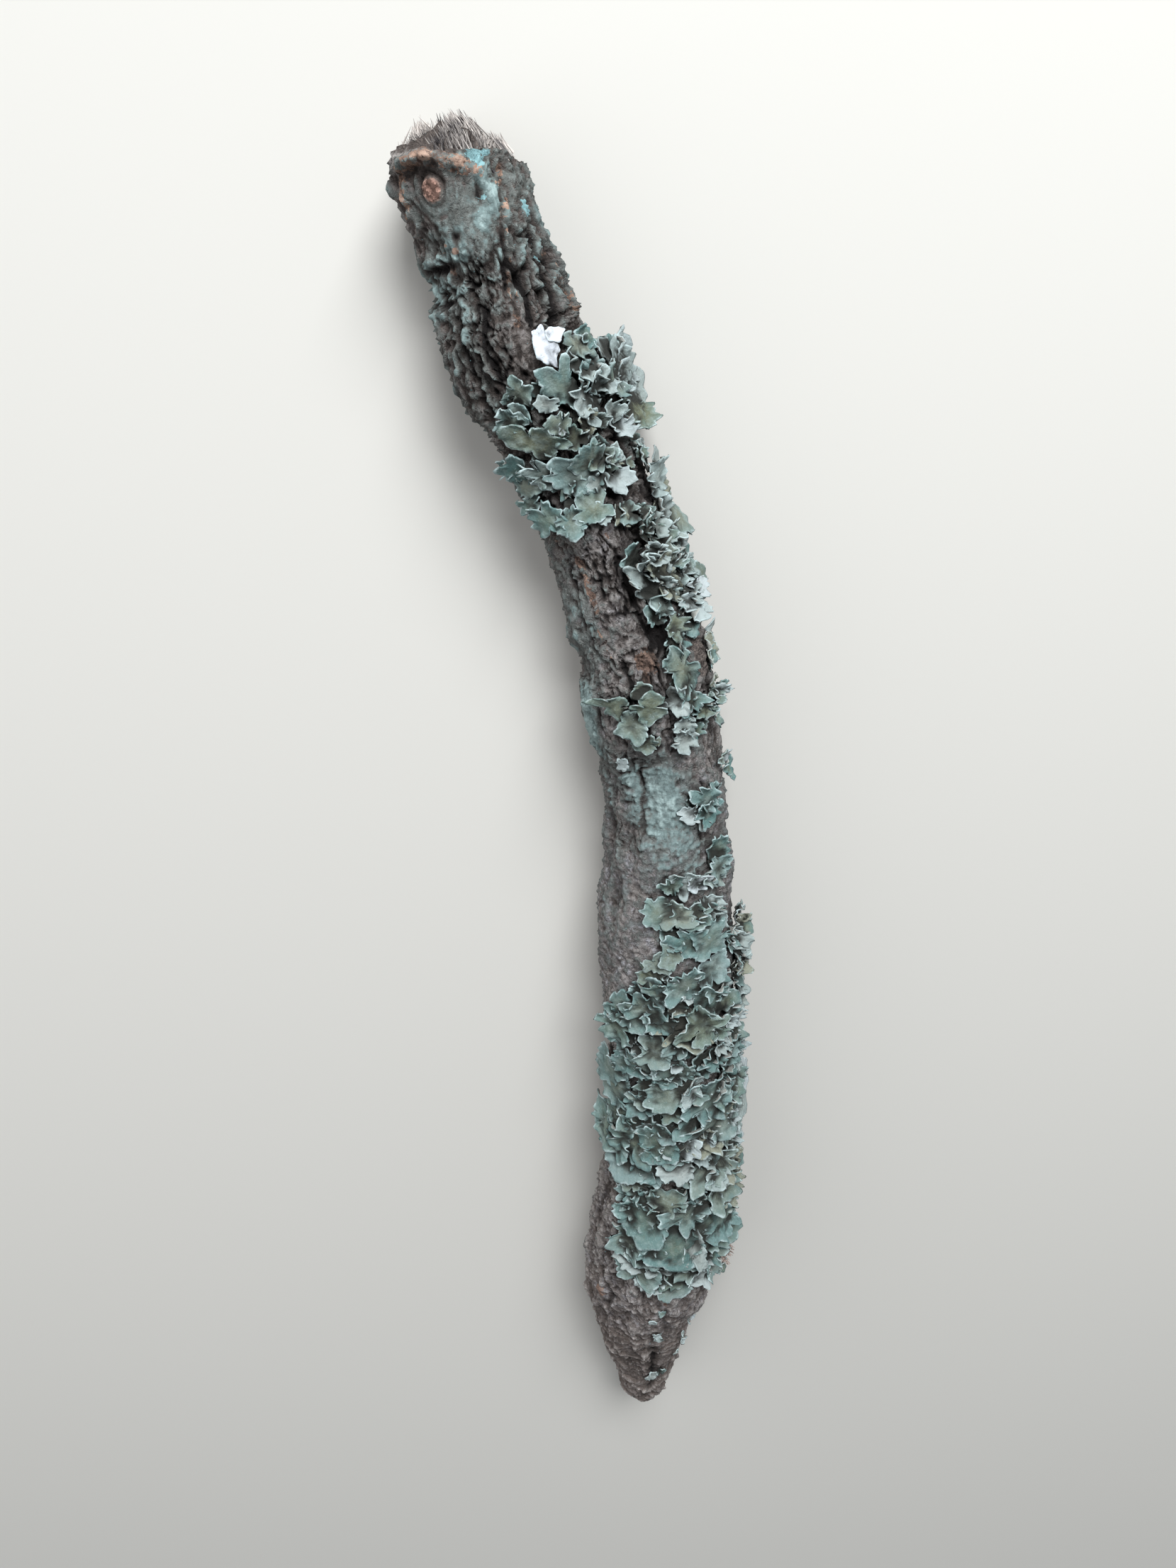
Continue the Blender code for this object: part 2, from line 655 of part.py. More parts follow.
def build():
    clear_scene()
    parts = new_collection("lichen_branch")
    helpers = new_collection("cutters")
    bark, lichen = (new_material(*row) for row in MATERIALS)
    make_branch("branch", parts, helpers, bark)
    clear = make_branch("branch_clear", parts, helpers, bark, BARK_GAP)
    least = make_branch("branch_least", parts, helpers, bark, LEAST_GAP)
    for name, lobes, triangles in LICHENS:
        make_lichen(name, lobes, triangles, clear, least, parts, lichen)


build()
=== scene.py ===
"""The lichen-covered branch as it looks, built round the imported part.

Lengths are millimetres and angles are degrees, until they reach a mesh in metres.
+Y runs up the branch to its frayed end, and +Z is up.
"""

import math
import random

import bmesh
import bpy
import numpy as np
from mathutils import Matrix, Vector, noise

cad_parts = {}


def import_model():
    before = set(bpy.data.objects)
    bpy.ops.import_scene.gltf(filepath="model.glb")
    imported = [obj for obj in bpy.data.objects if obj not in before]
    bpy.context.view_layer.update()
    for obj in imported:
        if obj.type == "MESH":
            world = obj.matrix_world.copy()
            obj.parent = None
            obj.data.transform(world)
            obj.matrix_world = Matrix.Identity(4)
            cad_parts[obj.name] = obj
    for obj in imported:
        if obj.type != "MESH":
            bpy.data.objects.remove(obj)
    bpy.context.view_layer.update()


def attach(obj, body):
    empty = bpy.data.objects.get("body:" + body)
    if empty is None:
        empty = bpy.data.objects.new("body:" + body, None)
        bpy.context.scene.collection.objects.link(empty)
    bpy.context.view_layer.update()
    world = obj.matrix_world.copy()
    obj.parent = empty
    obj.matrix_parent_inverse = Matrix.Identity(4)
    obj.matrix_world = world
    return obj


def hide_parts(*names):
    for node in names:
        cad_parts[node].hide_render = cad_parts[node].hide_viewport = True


MM = 0.001

# The branch, from its tip to its broken end: along (Y), sideways (X) and radius.
SPINE = (
    (-211, 12, 3.6), (-208, 12.9, 5.4), (-203, 15.2, 7.8), (-192, 17.3, 9.8), (-176, 16.2, 13.2),
    (-161, 14.6, 16.4), (-147, 14.8, 19.6), (-133, 17.6, 21.6), (-118, 18.8, 21.4),
    (-94, 20.2, 20.2), (-70, 21.3, 19.2), (-46, 21.4, 18.8), (-24, 20.4, 19.4), (-4, 19.3, 19.6),
    (15, 18.8, 18.3), (34, 18, 17.3), (55, 15.6, 16.6), (70, 12, 17.9), (82, 10.9, 17.4),
    (96, 6.4, 16), (115, 0.2, 15.1), (136, -8.6, 15.2), (150, -15.2, 16.2), (162, -22.2, 16.9),
    (175, -25.6, 14.9), (190, -31.2, 15.1), (199, -33.9, 14.4), (210, -35.2, 13.6),
)

# The tip's end; from where and how steeply the tip rises off the floor; how deep the branch
# sinks and over what angle it lies on it; and how far the rest stays clear of it.
TIP = -210.0
TAPER_START = -150.0
TAPER_SLOPE = 0.08
SINK = 0.4
BELLY_HALF_ANGLE = 15
LEAST_CLEAR = 0.05

# Mesh fineness of the bark: faces round the branch and along it.
BARK_SIDES = 196
LOWER_RINGS = 380
UPPER_RINGS = 500
TOP_SHARE = 0.42
SEAM = 0.405

# Where the bark ends at the broken end: around, along.
BARK_EDGE = (
    (-180, 196), (-110, 199), (-75, 201), (-50, 203), (-28, 203), (-5, 201.6), (25, 201.2),
    (45, 200.2), (58, 198), (80, 195), (120, 195), (180, 196),
)

# The outline of the broken wood, across it and along.
WOOD_OUTLINE = (
    (-14, 203.5), (-10.6, 205), (-9, 205.5), (-8.1, 208), (-6.5, 209), (-5.3, 207.8), (-2.6, 208.7),
    (-1, 210), (0.5, 210), (3.3, 208.9), (6, 206), (8.3, 204.8), (10.6, 203.8), (14.2, 202),
)
# How the mesh runs from the bark's rim, at 0, up the broken wood to its middle, at 1:
# how far out it is, and how far it has climbed to the outline, which lies CREST_DROP lower.
WOOD_STEPS = (0, 0.06, 0.15, 0.5, 0.8, 1)
WOOD_INWARD = (1, 0.96, 0.90, 0.80, 0.5, 0.05)
WOOD_CLIMB = (0, -0.02, -0.06, 0.6, 0.95, 1.0)
CREST_DROP = 4.6
RIM_WAVES = 1.6

# The share of the rings that is bark, how narrow the tip's end starts and over what share
# of the rings it opens, and a point inside.
BARK_SHARE = 0.966
TIP_CLOSED = 0.12
TIP_SHARE = 0.010
CORE = Vector((0.01, 0.0, 0.018))

# Where the lichens have to end: across (column 0 of a point) and up (column 2), from and
# to, with how far they may pass it.
LIMITS = ((0, -47.0, 47.0), (2, 2.0, 46.0))
SOFT_LIMIT = 1.8

# Relief of the bark.
SWELL_SIZE = 14.0
SWELL_DEPTH = 1.5
FURROW_SIZE = (7.5, 7.5, 24.0)
FURROW_DEPTH = 2.2

# Sizes of the bark's finer parts, round it, outward and along it.
WIDE_CRACKS = (5.5, 5.5, 15.0)
NARROW_CRACKS = (2.6, 2.6, 6.5)
CROSS_CRACKS = (4.5, 4.5, 1.8)
LONG_FLAKES = (2.8, 2.8, 5.5)
SHORT_FLAKES = (2.2, 2.2, 1.6)
KNOBS = (1.9, 1.9, 1.5)
PLATES = (3.0, 3.0, 4.2)
SMALL_PLATES = (1.5, 1.5, 1.7)
STRIPS = (4.5, 4.5, 11.0)
LEDGES = (7.0, 7.0, 8.0)
WOOD_GRAIN = (0.9, 0.9, 9.0)

# How far a noise bends all of them, so that none runs straight.
WARP = (2.4, 2.4, 3.5)

# How furrowed, how cross-cracked and how crusted the bark is: along, how much.
FURROWED = (
    (-211, 0.2), (-160, 0.25), (-125, 0.55), (-60, 0.55), (-20, 0.25), (30, 0.25), (60, 0.55),
    (80, 0.9), (110, 1), (175, 1), (185, 0.55), (200, 0.4),
)
CROSSED = (
    (-211, 0.3), (-160, 0.25), (-140, 0.4), (-110, 0.6), (-30, 0.5), (60, 0.4), (80, 0.8), (130, 1),
    (178, 1), (186, 0.2), (205, 0.2),
)
CRUSTED = (
    (-211, 0), (-150, 0.05), (-30, 0.1), (-20, 0.25), (30, 0.4), (60, 0.3), (75, 0.05), (110, 0.1),
    (140, 0.35), (165, 0.6), (182, 1.2), (198, 0.95), (205, 0.3),
)

# How much pale lilac-grey film lies over the bark.
LILAC = (
    (-211, 0.05), (-160, 0.1), (-140, 0.35), (-40, 0.35), (-25, 0.75), (30, 0.8), (60, 0.5),
    (80, 0.35), (120, 0.35), (135, 0.1), (205, 0.1),
)

# How much lighter or darker the bare bark is along the branch: partly painted light and shade,
# evening out how brightly each length of it is lit.
LIGHTER = (
    (-211, -0.9), (-160, -0.8), (-147, -0.3), (-135, -0.1), (-110, 0.1), (-60, 0.45), (30, 0.4),
    (60, 0.42), (120, 0.25), (145, 0), (178, -0.1), (205, -0.15),
)

# How strong the bark's finest grain is.
GRAINY = (
    (-211, 0.6), (-145, 0.65), (-125, 0.85), (80, 1), (178, 1), (186, 0.8), (205, 0.9),
)

# Lumps and hollows: along, around, half length, half width, height.
LUMPS = (
    (196.6, -18, 6, 6.5, 0.9), (200.6, -20, 2, 9, 1), (183.5, -74, 2.2, 5, 1.3),
    (177.5, -80, 2.6, 6, -1.3), (171.5, -78, 2.4, 5, 1), (155, -80, 5, 5, 1.4),
    (168, 75, 7, 3, 1.2), (136, 32, 4.5, 3.4, -1.8), (134, -6, 4, 3, -1), (106, 28, 6, 3, -1.2),
    (94, -72, 3, 5, 1.1), (92, 25, 4, 3, -2.4), (85, 52, 6.5, 3.2, 2.4), (85, 0, 4.5, 3.6, -1.1),
    (75, -66, 6, 5, 1.3), (50, -33, 8, 2.6, 1.2), (37.5, -70, 4, 5, -1.5),
    (11.5, -2, 2.2, 6.5, -1.6), (12, -88, 5, 6, 1), (-122, 74, 6, 5, 1.3), (-128, -88, 7, 7, 1.1),
    (-141, -22, 3, 5, -1), (-186, 24, 6, 2.6, -1.6),
)
# Smaller ones, which the broad relief doesn't blur.
SMALL_LUMPS = (
    (-122.5, 84, 3.4, 3.6, 3.2), (199, 2, 1.5, 5, 1.3), (200.6, -30, 1.4, 4.5, 1.1),
    (196, -44, 5, 1.6, 1), (202, -40, 1.8, 5, 1.5), (200.2, -52, 1.6, 2, 1.5),
    (197.6, -64, 1.8, 2.2, 1.4), (200.8, -33, 0.9, 1.6, 1.2), (198.6, -44, 0.7, 2.4, -1.2),
    (194.5, -58, 1.2, 2.6, -1), (190.6, -19, 1.7, 2.6, -0.8), (183, -55, 1.4, 4, 1.4),
    (181, -54, 0.8, 5, -1), (172.5, -52, 1.2, 4, 1), (186, -15, 1, 1.2, -1),
    (189, -48, 1.1, 1.6, -1.1), (192, 17, 1.8, 0.8, -1), (174, 29, 3, 1.2, -1.2),
    (176, 64, 3.5, 1.3, -1.2), (49, -22, 3, 0.9, -0.8), (40, -25, 2.5, 0.9, -0.8),
    (57, -36, 0.6, 2.5, -0.8), (52, -36, 0.6, 2.5, -0.8), (47, -36, 0.6, 2.5, -0.8),
    (41, -67, 0.9, 2.2, -1.3), (-138.5, -17, 1.2, 3.4, -1.2), (-136.5, -17, 0.9, 3.6, 0.8),
    (-175, 14, 7, 1.6, -0.9), (-146, 0, 4, 5, 0.5),
)
# Ridges and grooves that follow a line: half width, height, then along, around of each point.
RELIEF_LINES = (
    (1.5, 1.5, (201.2, -14), (200.4, -4), (198.8, 4), (197.2, 12), (196, 18)),
    (1.2, 1.2, (193, -54), (197.5, -46), (200.3, -36), (201, -24), (201.4, -12)),
    (0.8, -1.2, (199, -32), (199.6, -22), (199.2, -10)),
    (0.7, -0.9, (203, -20), (202.2, -6), (200.6, 6)), (0.5, -0.5, (60, -17), (56, -22), (51, -20)),
    (0.5, -0.4, (48, -24), (46, -25), (41, -21), (36, -27)), (1.8, 0.8, (58, -34), (42, -37)),
    (0.5, -0.7, (56.4, -42), (57.4, -31)), (0.5, -0.7, (52.6, -43), (51.6, -32)),
    (0.5, -0.7, (46.8, -42), (47.8, -31)),
    (1.6, -1.1, (-166, 13), (-175, 15), (-183, 9), (-194, 6), (-202, 10)),
    # These two grooves lie under ledges; their dark is painted shade.
    (0.9, -1.4, (182.6, -80), (182, -62), (181.5, -48)),
    (0.9, -1.4, (173.2, -80), (172.8, -62), (173.2, -46)),
    (0.8, -1.2, (178, 20), (171, 27), (165, 24)), (1, -1.5, (176, 46), (170, 52), (164, 50)),
    (0.6, -0.6, (191, 35), (185, 26), (180, 21), (173, 9)),
    (0.8, -1, (170, -12), (163, -19), (158, -17)), (0.7, -0.9, (154, -24), (146, -24), (138, -20)),
    (0.8, -0.9, (172, -34), (165, -40), (159, -38), (152, -46)),
    (1.8, 0.5, (176, -26), (164, -32), (150, -36)), (1.8, 0.5, (172, -44), (160, -52), (146, -56)),
    (0.6, -0.8, (118, -20), (110, -15), (104, -17)), (0.6, -0.7, (112, -48), (104, -43), (98, -45)),
    (0.7, -1, (108, 12), (98, 10), (90, 16)), (0.6, -0.9, (100, -20), (99, 6)),
    (0.8, -1.3, (88, -18), (80, -12), (74, -22)), (1, 0.9, (-150, -22), (-154, -6), (-152, 12)),
    (0.7, -1.2, (-152, -22), (-156, -6), (-154, 12)), (0.7, -1, (-161, -20), (-165, 0), (-162, 8)),
    (0.7, -1, (-171, -30), (-174, -8), (-171, 6)),
    (0.8, -1.2, (-126, -58), (-136, -40), (-143, -44)),
    (1.2, -0.8, (-130, 2), (-140, 14), (-149, 24)),
)
# Rust-coloured lines: half width, strength, then along, around of each point.
RUST_LINES = (
    (1.5, 2.4, (201.2, -14), (198.8, 4), (196, 18)),
    (1.2, 1.6, (193, -54), (197.5, -46), (200.3, -36), (201.2, -14)),
    (1.1, 1.2, (115, -31), (108, -29), (102, -26)), (0.8, 1.5, (196, 44), (192.5, 37)),
    (0.9, 1.5, (188.5, 36), (186.5, 30)), (0.7, 1.3, (183, 28), (181.5, 24)),
    (0.9, 1.4, (178, 22), (175, 14), (171, 16), (166, 13)),
    (0.8, 1.2, (160, 32), (154, 26), (149, 30)), (1.2, 1.2, (178, 64), (168, 72), (160, 74)),
    (0.7, 0.8, (126, -52), (120, -44)), (0.6, 0.8, (97, -30), (90, -24)),
)
# Spots where the bark is smoother, or rougher below 0: along, around, half length,
# half width, strength. The tables after it are alike: crust, rust, dark holes, pale flecks
# and bare wood.
SMOOTH_SPOTS = (
    (199.5, -2, 2.2, 7, -1.4), (196, -64, 9, 6, -1.6), (201, -40, 2.5, 5, -1.2),
    (176, 60, 18, 6, -0.5), (189.5, -5, 7, 6.5, 1.1), (195, -18, 4.5, 6.5, 1),
    (160, 15, 9, 3.6, 0.9), (8, -40, 24, 9, 0.5), (47, -4, 13, 4.5, 0.9), (102, -64, 26, 9, 0.65),
    (-146, 0, 4.5, 4.5, 0.9),
)
CRUST_SPOTS = (
    (189, -8, 8, 9, 0.24), (184, -28, 3, 2.6, 0.7), (187, 11, 1.8, 2, 0.9),
    (192.5, 27, 4.2, 2.4, 1.1), (200.4, 20, 0.9, 5, 0.5), (199.4, -47, 2.6, 2.2, -0.6),
    (47, -4, 15, 7.5, 1.45), (56, -26, 5, 4, 0.7), (30, 20, 9, 4, 0.6), (160, -35, 12, 6, 0.5),
    (176, -62, 6, 5, 0.8), (10, -60, 20, 6, 0.25), (100, -62, 24, 9, 0.8), (98, -38, 12, 4, 0.35),
    (71, -68, 10, 6, 1.7), (48, -62, 14, 8, 0.35), (160, 15, 9, 3.2, -0.7), (192, -72, 8, 5, -0.8),
    (201.5, -40, 2.5, 5, -0.4), (-146, 0, 5, 5, -0.4),
)
RUST_SPOTS = (
    (185, -33, 1, 1.8, 1.6), (180.7, -35, 1.6, 1.1, 1.5), (183.5, -22, 0.8, 1.6, 1.2),
    (118, 4, 1, 0.9, 1.2), (87, 5, 2.9, 2.9, 4), (82.5, 0, 1.8, 1.1, 3), (37.5, -67, 1.4, 1.6, 1.3),
    (-137.5, -53, 3, 1.6, 3), (-128, 8, 2.2, 1.2, 1), (-128, 78, 3, 3, 0.8),
)
# The holes' dark is painted shade.
HOLES = (
    (92, 24, 3, 2.6, 1.5), (84.5, 62, 1, 3, 1), (134, 34, 2.2, 2.6, 1.3), (128, 50, 3.2, 1.2, 1.2),
    (-24.5, -28, 1.6, 2.8, 1.2), (-49, -30, 2.4, 2.6, 1), (186, -15, 1, 1.2, 0.8),
    (192, 15, 1.6, 0.8, 0.9),
)
FLECK_SPOTS = (
    (199.8, 20, 1.5, 1.5, 1.2), (197.7, 25, 1.4, 1.1, 1.1), (199.6, 33, 0.9, 1.5, 1),
    (186, 58, 1.5, 1.3, 1.7), (190.8, 20, 0.8, 1.3, 0.7), (176.5, 52, 0.9, 0.9, 0.9),
)
# The healed knot (along, around, radius), how far the bark is smooth round it, and the
# side stub (along, around).
KNOT = (195.2, -19, 2.2)
KNOT_CLEAR = 4.5
STUB = (-123.5, 84)
WOOD_SPOTS = ((*STUB, 4.5, 4.5, 1.2), (85.0, 52, 5.5, 2.6, 1.0))

# Broken wood: tufts on the frayed end, splinters on the stub, the wood's radius, and how far
# left, up the branch and down a splinter may reach.
TUFTS = 640
STUB_SPLINTERS = 120
WOOD_RADIUS = 14.4
MOST_LEFT, MOST_ALONG, LEAST_HIGH = -48.5, 210.3, 0.8

# The lichens' lobes. A thin sheet fans out from its root: along and around of the root,
# heading (0 to the broken end, 90 to the right), length, half spread, rise, curl at the
# rim and tone.
UPPER = (
    (164.4, 27, 186, 10, 20, 8, 0, "s"), (162.6, 33, 160, 5, 34, 16, 2, "s"),
    (158.5, 45, 170, 6, 40, 12, 15, "g"), (157.5, 55, 150, 5.5, 40, 14, 18, "t"),
    (155, 50, 200, 6, 42, 14, 18, "p"), (152.5, 43, 185, 6.5, 40, 12, 16, "g"),
    (150.5, 52, 165, 6, 44, 16, 18, "p"), (138, 26, 160, 7, 36, 12, 14, "g"),
    (136.5, -20, 150, 7.5, 30, 10, 14, "t"), (122, 44, 170, 5.5, 40, 16, 18, "g"),
    (119, 52, 185, 5.5, 40, 16, 18, "p"), (150.5, -8, -5, 7, 38, 14, 15, "t"),
    (150, -6, 30, 5, 32, 12, 15, "t"), (151.5, -11, -50, 4.5, 24, 12, 15, "t"),
    (147.5, -12, -20, 6, 20, 14, 15, "t"), (146, -15, -42, 8.5, 28, 12, 18, "t"),
    (140, 0, -50, 10, 26, 8, 10, "g"), (145.5, 24, -10, 9, 34, 10, 18, "t"),
    (149, 12, -25, 6, 26, 12, 15, "o"), (148, 12, -65, 5, 28, 20, 20, "p"),
    (143, 38, 10, 6, 45, 25, 25, "p"), (144, 30, 0, 5.5, 40, 20, 20, "p"),
    (146, 42, 40, 5.5, 45, 20, 25, "t"), (141, 8, -10, 6.5, 38, 10, 10, "o"),
    (145.5, 12, -150, 3.5, 20, 22, 10, "w"), (143.5, 16, -165, 5.5, 40, 12, 10, "o"),
    (145, 28, 185, 5.5, 38, 14, 10, "n"), (140, 46, 60, 5, 50, 48, 30, "p"),
    (138, 48, 100, 4.5, 50, 50, 30, "w"), (135.5, 42, 205, 5, 40, 20, 25, "p"),
    (130.5, 32, -25, 8, 35, 12, 15, "o"), (128, 5, -10, 8.5, 45, 8, 12, "g"),
    (129, 15, 5, 8, 38, 8, 12, "g"), (131.5, -10, -35, 8.5, 22, 20, 20, "g"),
    (130, -25, -150, 8, 45, 14, 20, "t"), (128, -12, 200, 6.5, 45, 16, 20, "g"),
    (131, -38, -100, 6, 30, 14, 15, "t"), (129, 6, 185, 6.5, 52, 18, 20, "g"),
    (125.5, 8, 175, 5, 22, 18, 20, "p"), (139.5, -45, -85, 6, 25, 8, 5, "t"),
    (137, -36, -80, 8, 25, 8, 5, "t"), (135, -35, -40, 7, 38, 8, 10, "t"),
    (134, -28, -80, 8, 30, 10, 10, "g"), (131, -60, -110, 4, 22, 10, 10, "p"),
    (124, 28, 170, 5.5, 40, 20, 25, "g"), (123.5, 22, 182, 5, 30, 15, 15, "n"),
    (127.5, 22, -30, 4.5, 45, 15, 20, "p"), (149, 62, 150, 7, 36, 10, 10, "g"),
    (153, 66, 120, 5, 36, 20, 10, "p"), (146, 74, 70, 8, 40, 56, 10, "p"),
    (143.5, 82, 60, 9.5, 60, 58, 14, "w"), (142.5, 84, 95, 10, 58, 56, 14, "p"),
    (142, 82, 140, 10, 50, 56, 8, "o"), (143, 78, 60, 8, 42, 48, 10, "w"),
    (149, 80, 82, 9, 30, 60, 8, "t"),
)
SHOULDER = (
    (120, 66, 28, 8.5, 38, 36, 15, "p"), (123, 80, 55, 8, 34, 52, 0, "p"),
    (118.5, 84, 92, 7.5, 48, 52, 0, "g"), (117, 82, 140, 8.5, 38, 50, 0, "o"),
    (126, 74, -5, 7, 24, 14, 5, "p"), (120, 68, 180, 6, 38, 24, 10, "n"),
    (112.5, 46, -4, 7, 28, 40, 25, "o"), (113, 40, -14, 7, 18, 45, 10, "o"),
    (113.5, 44, 120, 6.5, 42, 20, 20, "o"), (98, 57, -30, 15, 22, 24, 30, "n"),
    (97, 50, -36, 14, 18, 12, 10, "p"), (109, 27, -30, 5.5, 45, 14, 10, "t"),
    (101, 50, -28, 11.5, 18, 30, 15, "p"), (108, 56, -60, 9, 20, 20, 15, "p"),
    (111, 72, 10, 3.6, 50, 35, 20, "w"), (109, 78, 20, 5, 45, 48, 10, "p"),
    (107, 76, 80, 3.6, 50, 45, 20, "w"), (104, 84, 60, 5.5, 45, 58, 0, "t"),
    (103, 70, 30, 4, 50, 35, 20, "p"), (100, 74, 30, 5.5, 45, 32, 20, "p"),
    (99, 86, 100, 4, 50, 45, 10, "p"), (96.5, 82, 82, 8.5, 36, 62, 0, "o"),
    (98, 52, 150, 6.5, 45, 25, 25, "w"), (96, 60, 110, 6.5, 42, 25, 20, "p"),
    (95, 42, 212, 5.5, 34, 14, 15, "o"), (95, 34, -60, 5, 38, 12, 15, "t"),
    (91.5, 46, 30, 4.5, 42, 20, 25, "t"), (92, 56, 60, 4, 45, 20, 20, "p"),
)
SADDLE = (
    (86.5, 36, -30, 5.5, 42, 14, 18, "t"), (78, 38, -28, 11, 30, 14, 18, "g"),
    (80, 30, 160, 6.5, 42, 12, 15, "t"), (95.5, 40, -50, 4.5, 42, 14, 18, "t"),
    (93, 46, 160, 5, 42, 16, 18, "t"), (80.5, 23, 186, 6, 42, 16, 18, "p"),
    (78, 7, 180, 3.2, 50, 14, 15, "w"), (77, 33, 170, 6, 42, 16, 18, "t"),
    (76, 54, 205, 7.5, 24, 12, 12, "o"), (72, 64, 190, 7.5, 26, 12, 12, "o"),
    (73.5, 31, 200, 7, 26, 12, 15, "p"), (67.5, 27, 200, 5.5, 42, 16, 20, "p"),
    (67.5, 32, 150, 5, 42, 12, 15, "t"),
)
VALLEY_LEAF = (
    (73.5, -11, -52, 10, 20, 26, 18, "o"), (73, -6, 22, 8.5, 26, 26, 18, "o"),
    (76, -9, 196, 8, 28, 10, 12, "g"), (69, -3, 200, 4.5, 42, 14, 15, "o"),
)
WHITE_SCALE = ((63.2, -30, 190, 3.6, 30, 14, 10, "w"),)
RIGHT_SCALES = (
    (44, 40, -30, 8.5, 22, 14, 15, "t"), (45, 22, 120, 7, 36, 14, 15, "p"),
    (44, 38, 10, 6, 36, 12, 15, "t"), (46.5, 30, 150, 6, 40, 12, 10, "t"),
    (46, 20, 190, 4.5, 42, 14, 14, "w"),
)
RIGHT_CLUMP = (
    (50, 78, 30, 4, 45, 35, 15, "w"), (49, 82, 120, 4.5, 45, 40, 10, "t"),
    (51.5, 68, 10, 3.6, 45, 25, 15, "o"),
)
RIGHT_SHINGLES = (
    (28, 40, 30, 7, 36, 12, 12, "t"), (23.5, 38, 35, 6.5, 40, 12, 12, "t"),
    (29, 44, 190, 7, 34, 8, 8, "g"),
)
COLLAR = (
    (20, 3, -15, 7.5, 26, 10, 12, "o"), (20, 13, 5, 7, 45, 10, 20, "p"),
    (21, 20, 20, 4.5, 45, 12, 20, "w"), (19, -2, -130, 7, 42, 22, 15, "t"),
    (19, 4, 180, 7, 46, 24, 15, "g"), (19, 15, 175, 7, 46, 24, 15, "o"),
    (19, 27, 165, 6.5, 42, 20, 15, "p"), (13, 24, 170, 4, 45, 14, 14, "o"),
    (3, 16, -10, 7.5, 42, 10, 12, "t"), (2, 22, 30, 9, 40, 10, 14, "t"),
    (0, 20, 120, 8.5, 45, 12, 16, "t"), (8, 30, 60, 6.5, 36, 12, 16, "p"),
    (9, 8, -120, 5, 40, 12, 14, "g"), (4, 10, -100, 5.5, 42, 14, 14, "o"),
    (10, 34, 10, 6, 40, 8, 10, "t"), (0, 52, 60, 5.5, 40, 16, 14, "g"),
    (-1, -3, -45, 5.5, 42, 10, 12, "o"), (-2.5, -1, 180, 2.6, 40, 16, 14, "w"),
    (-3, -5, -95, 7.5, 30, 8, 10, "o"), (-5, -3, -160, 6, 42, 12, 12, "t"),
    (-1, 10, 180, 8.5, 42, 10, 14, "t"), (-4, 20, 170, 7, 42, 12, 14, "p"),
    (-5, 32, 150, 6, 42, 12, 14, "g"), (-7, 45, 165, 5.5, 34, 12, 14, "p"),
    (-9, -38, 100, 12.5, 30, 6, 12, "t"), (-10, -22, 185, 8, 46, 10, 12, "t"),
    (-10, -8, 170, 7.5, 44, 12, 12, "t"), (-20, -33, -60, 7.5, 42, 8, 12, "t"),
    (-22, -33, -110, 8.5, 42, 10, 12, "t"), (-15, -35, 160, 7.5, 36, 14, 14, "t"),
    (-19, -43, -160, 9.5, 38, 8, 8, "o"), (-24, -36, 178, 5.5, 18, 24, 12, "w"),
    (-11, 5, 175, 4.5, 40, 20, 14, "n"), (-14, 9, 180, 12, 42, 22, 10, "n"),
    (-14, 14, 165, 11.5, 36, 26, 10, "o"), (-17, 2, -115, 8.5, 30, 20, 12, "t"),
    (-21, 8, 170, 9.5, 38, 14, 12, "o"), (-25, 8, 180, 6.5, 40, 12, 12, "t"),
    (-16, 26, 20, 7.5, 46, 12, 14, "t"), (-15, 34, 120, 7.5, 46, 12, 14, "t"),
    (-20, 22, 160, 6.5, 44, 12, 14, "g"), (-22, 36, 175, 6.5, 38, 22, 20, "o"),
    (-27, 34, 100, 5, 45, 40, 25, "p"), (-29, 42, 200, 5, 45, 36, 25, "p"),
    (-26, 44, 60, 4.5, 45, 36, 25, "w"), (-25, -15, 180, 8.5, 46, 12, 14, "g"),
    (-27, -26, 185, 5, 30, 22, 20, "p"), (-28, 2, 185, 7, 24, 16, 12, "w"),
    (-31, 38, 200, 7, 46, 14, 14, "t"), (-29, -33, 190, 7.5, 42, 10, 12, "g"),
    (-33, 56, 165, 8.5, 46, 14, 12, "t"), (-34, 74, 65, 7, 46, 38, 0, "t"),
    (-28, 60, 160, 8, 42, 14, 10, "g"), (-18, 62, 170, 7, 42, 14, 10, "g"),
    (-26, 82, 120, 5.5, 14, 50, 0, "w"), (3, 80, 40, 5.5, 42, 40, 10, "w"),
    (0, 80, 160, 7, 40, 50, 0, "p"), (-5, 80, 120, 4, 42, 40, 0, "n"),
    (-11.5, 80, 60, 6, 42, 46, 8, "w"), (-6, 74, 170, 8, 38, 24, 5, "g"),
    (-12, 76, 170, 7, 38, 30, 5, "t"), (-20, 76, 160, 7, 38, 34, 5, "p"),
    (-32, -37, 187, 9, 34, 8, 10, "t"), (-31, -30, 183, 9, 38, 8, 10, "g"),
    (-31.5, -14, 178, 9.5, 40, 8, 10, "t"), (-31, 4, 184, 9, 38, 10, 12, "o"),
    (-32, 22, 176, 9.5, 38, 12, 12, "g"), (-31, 42, 172, 9, 36, 10, 10, "t"),
)
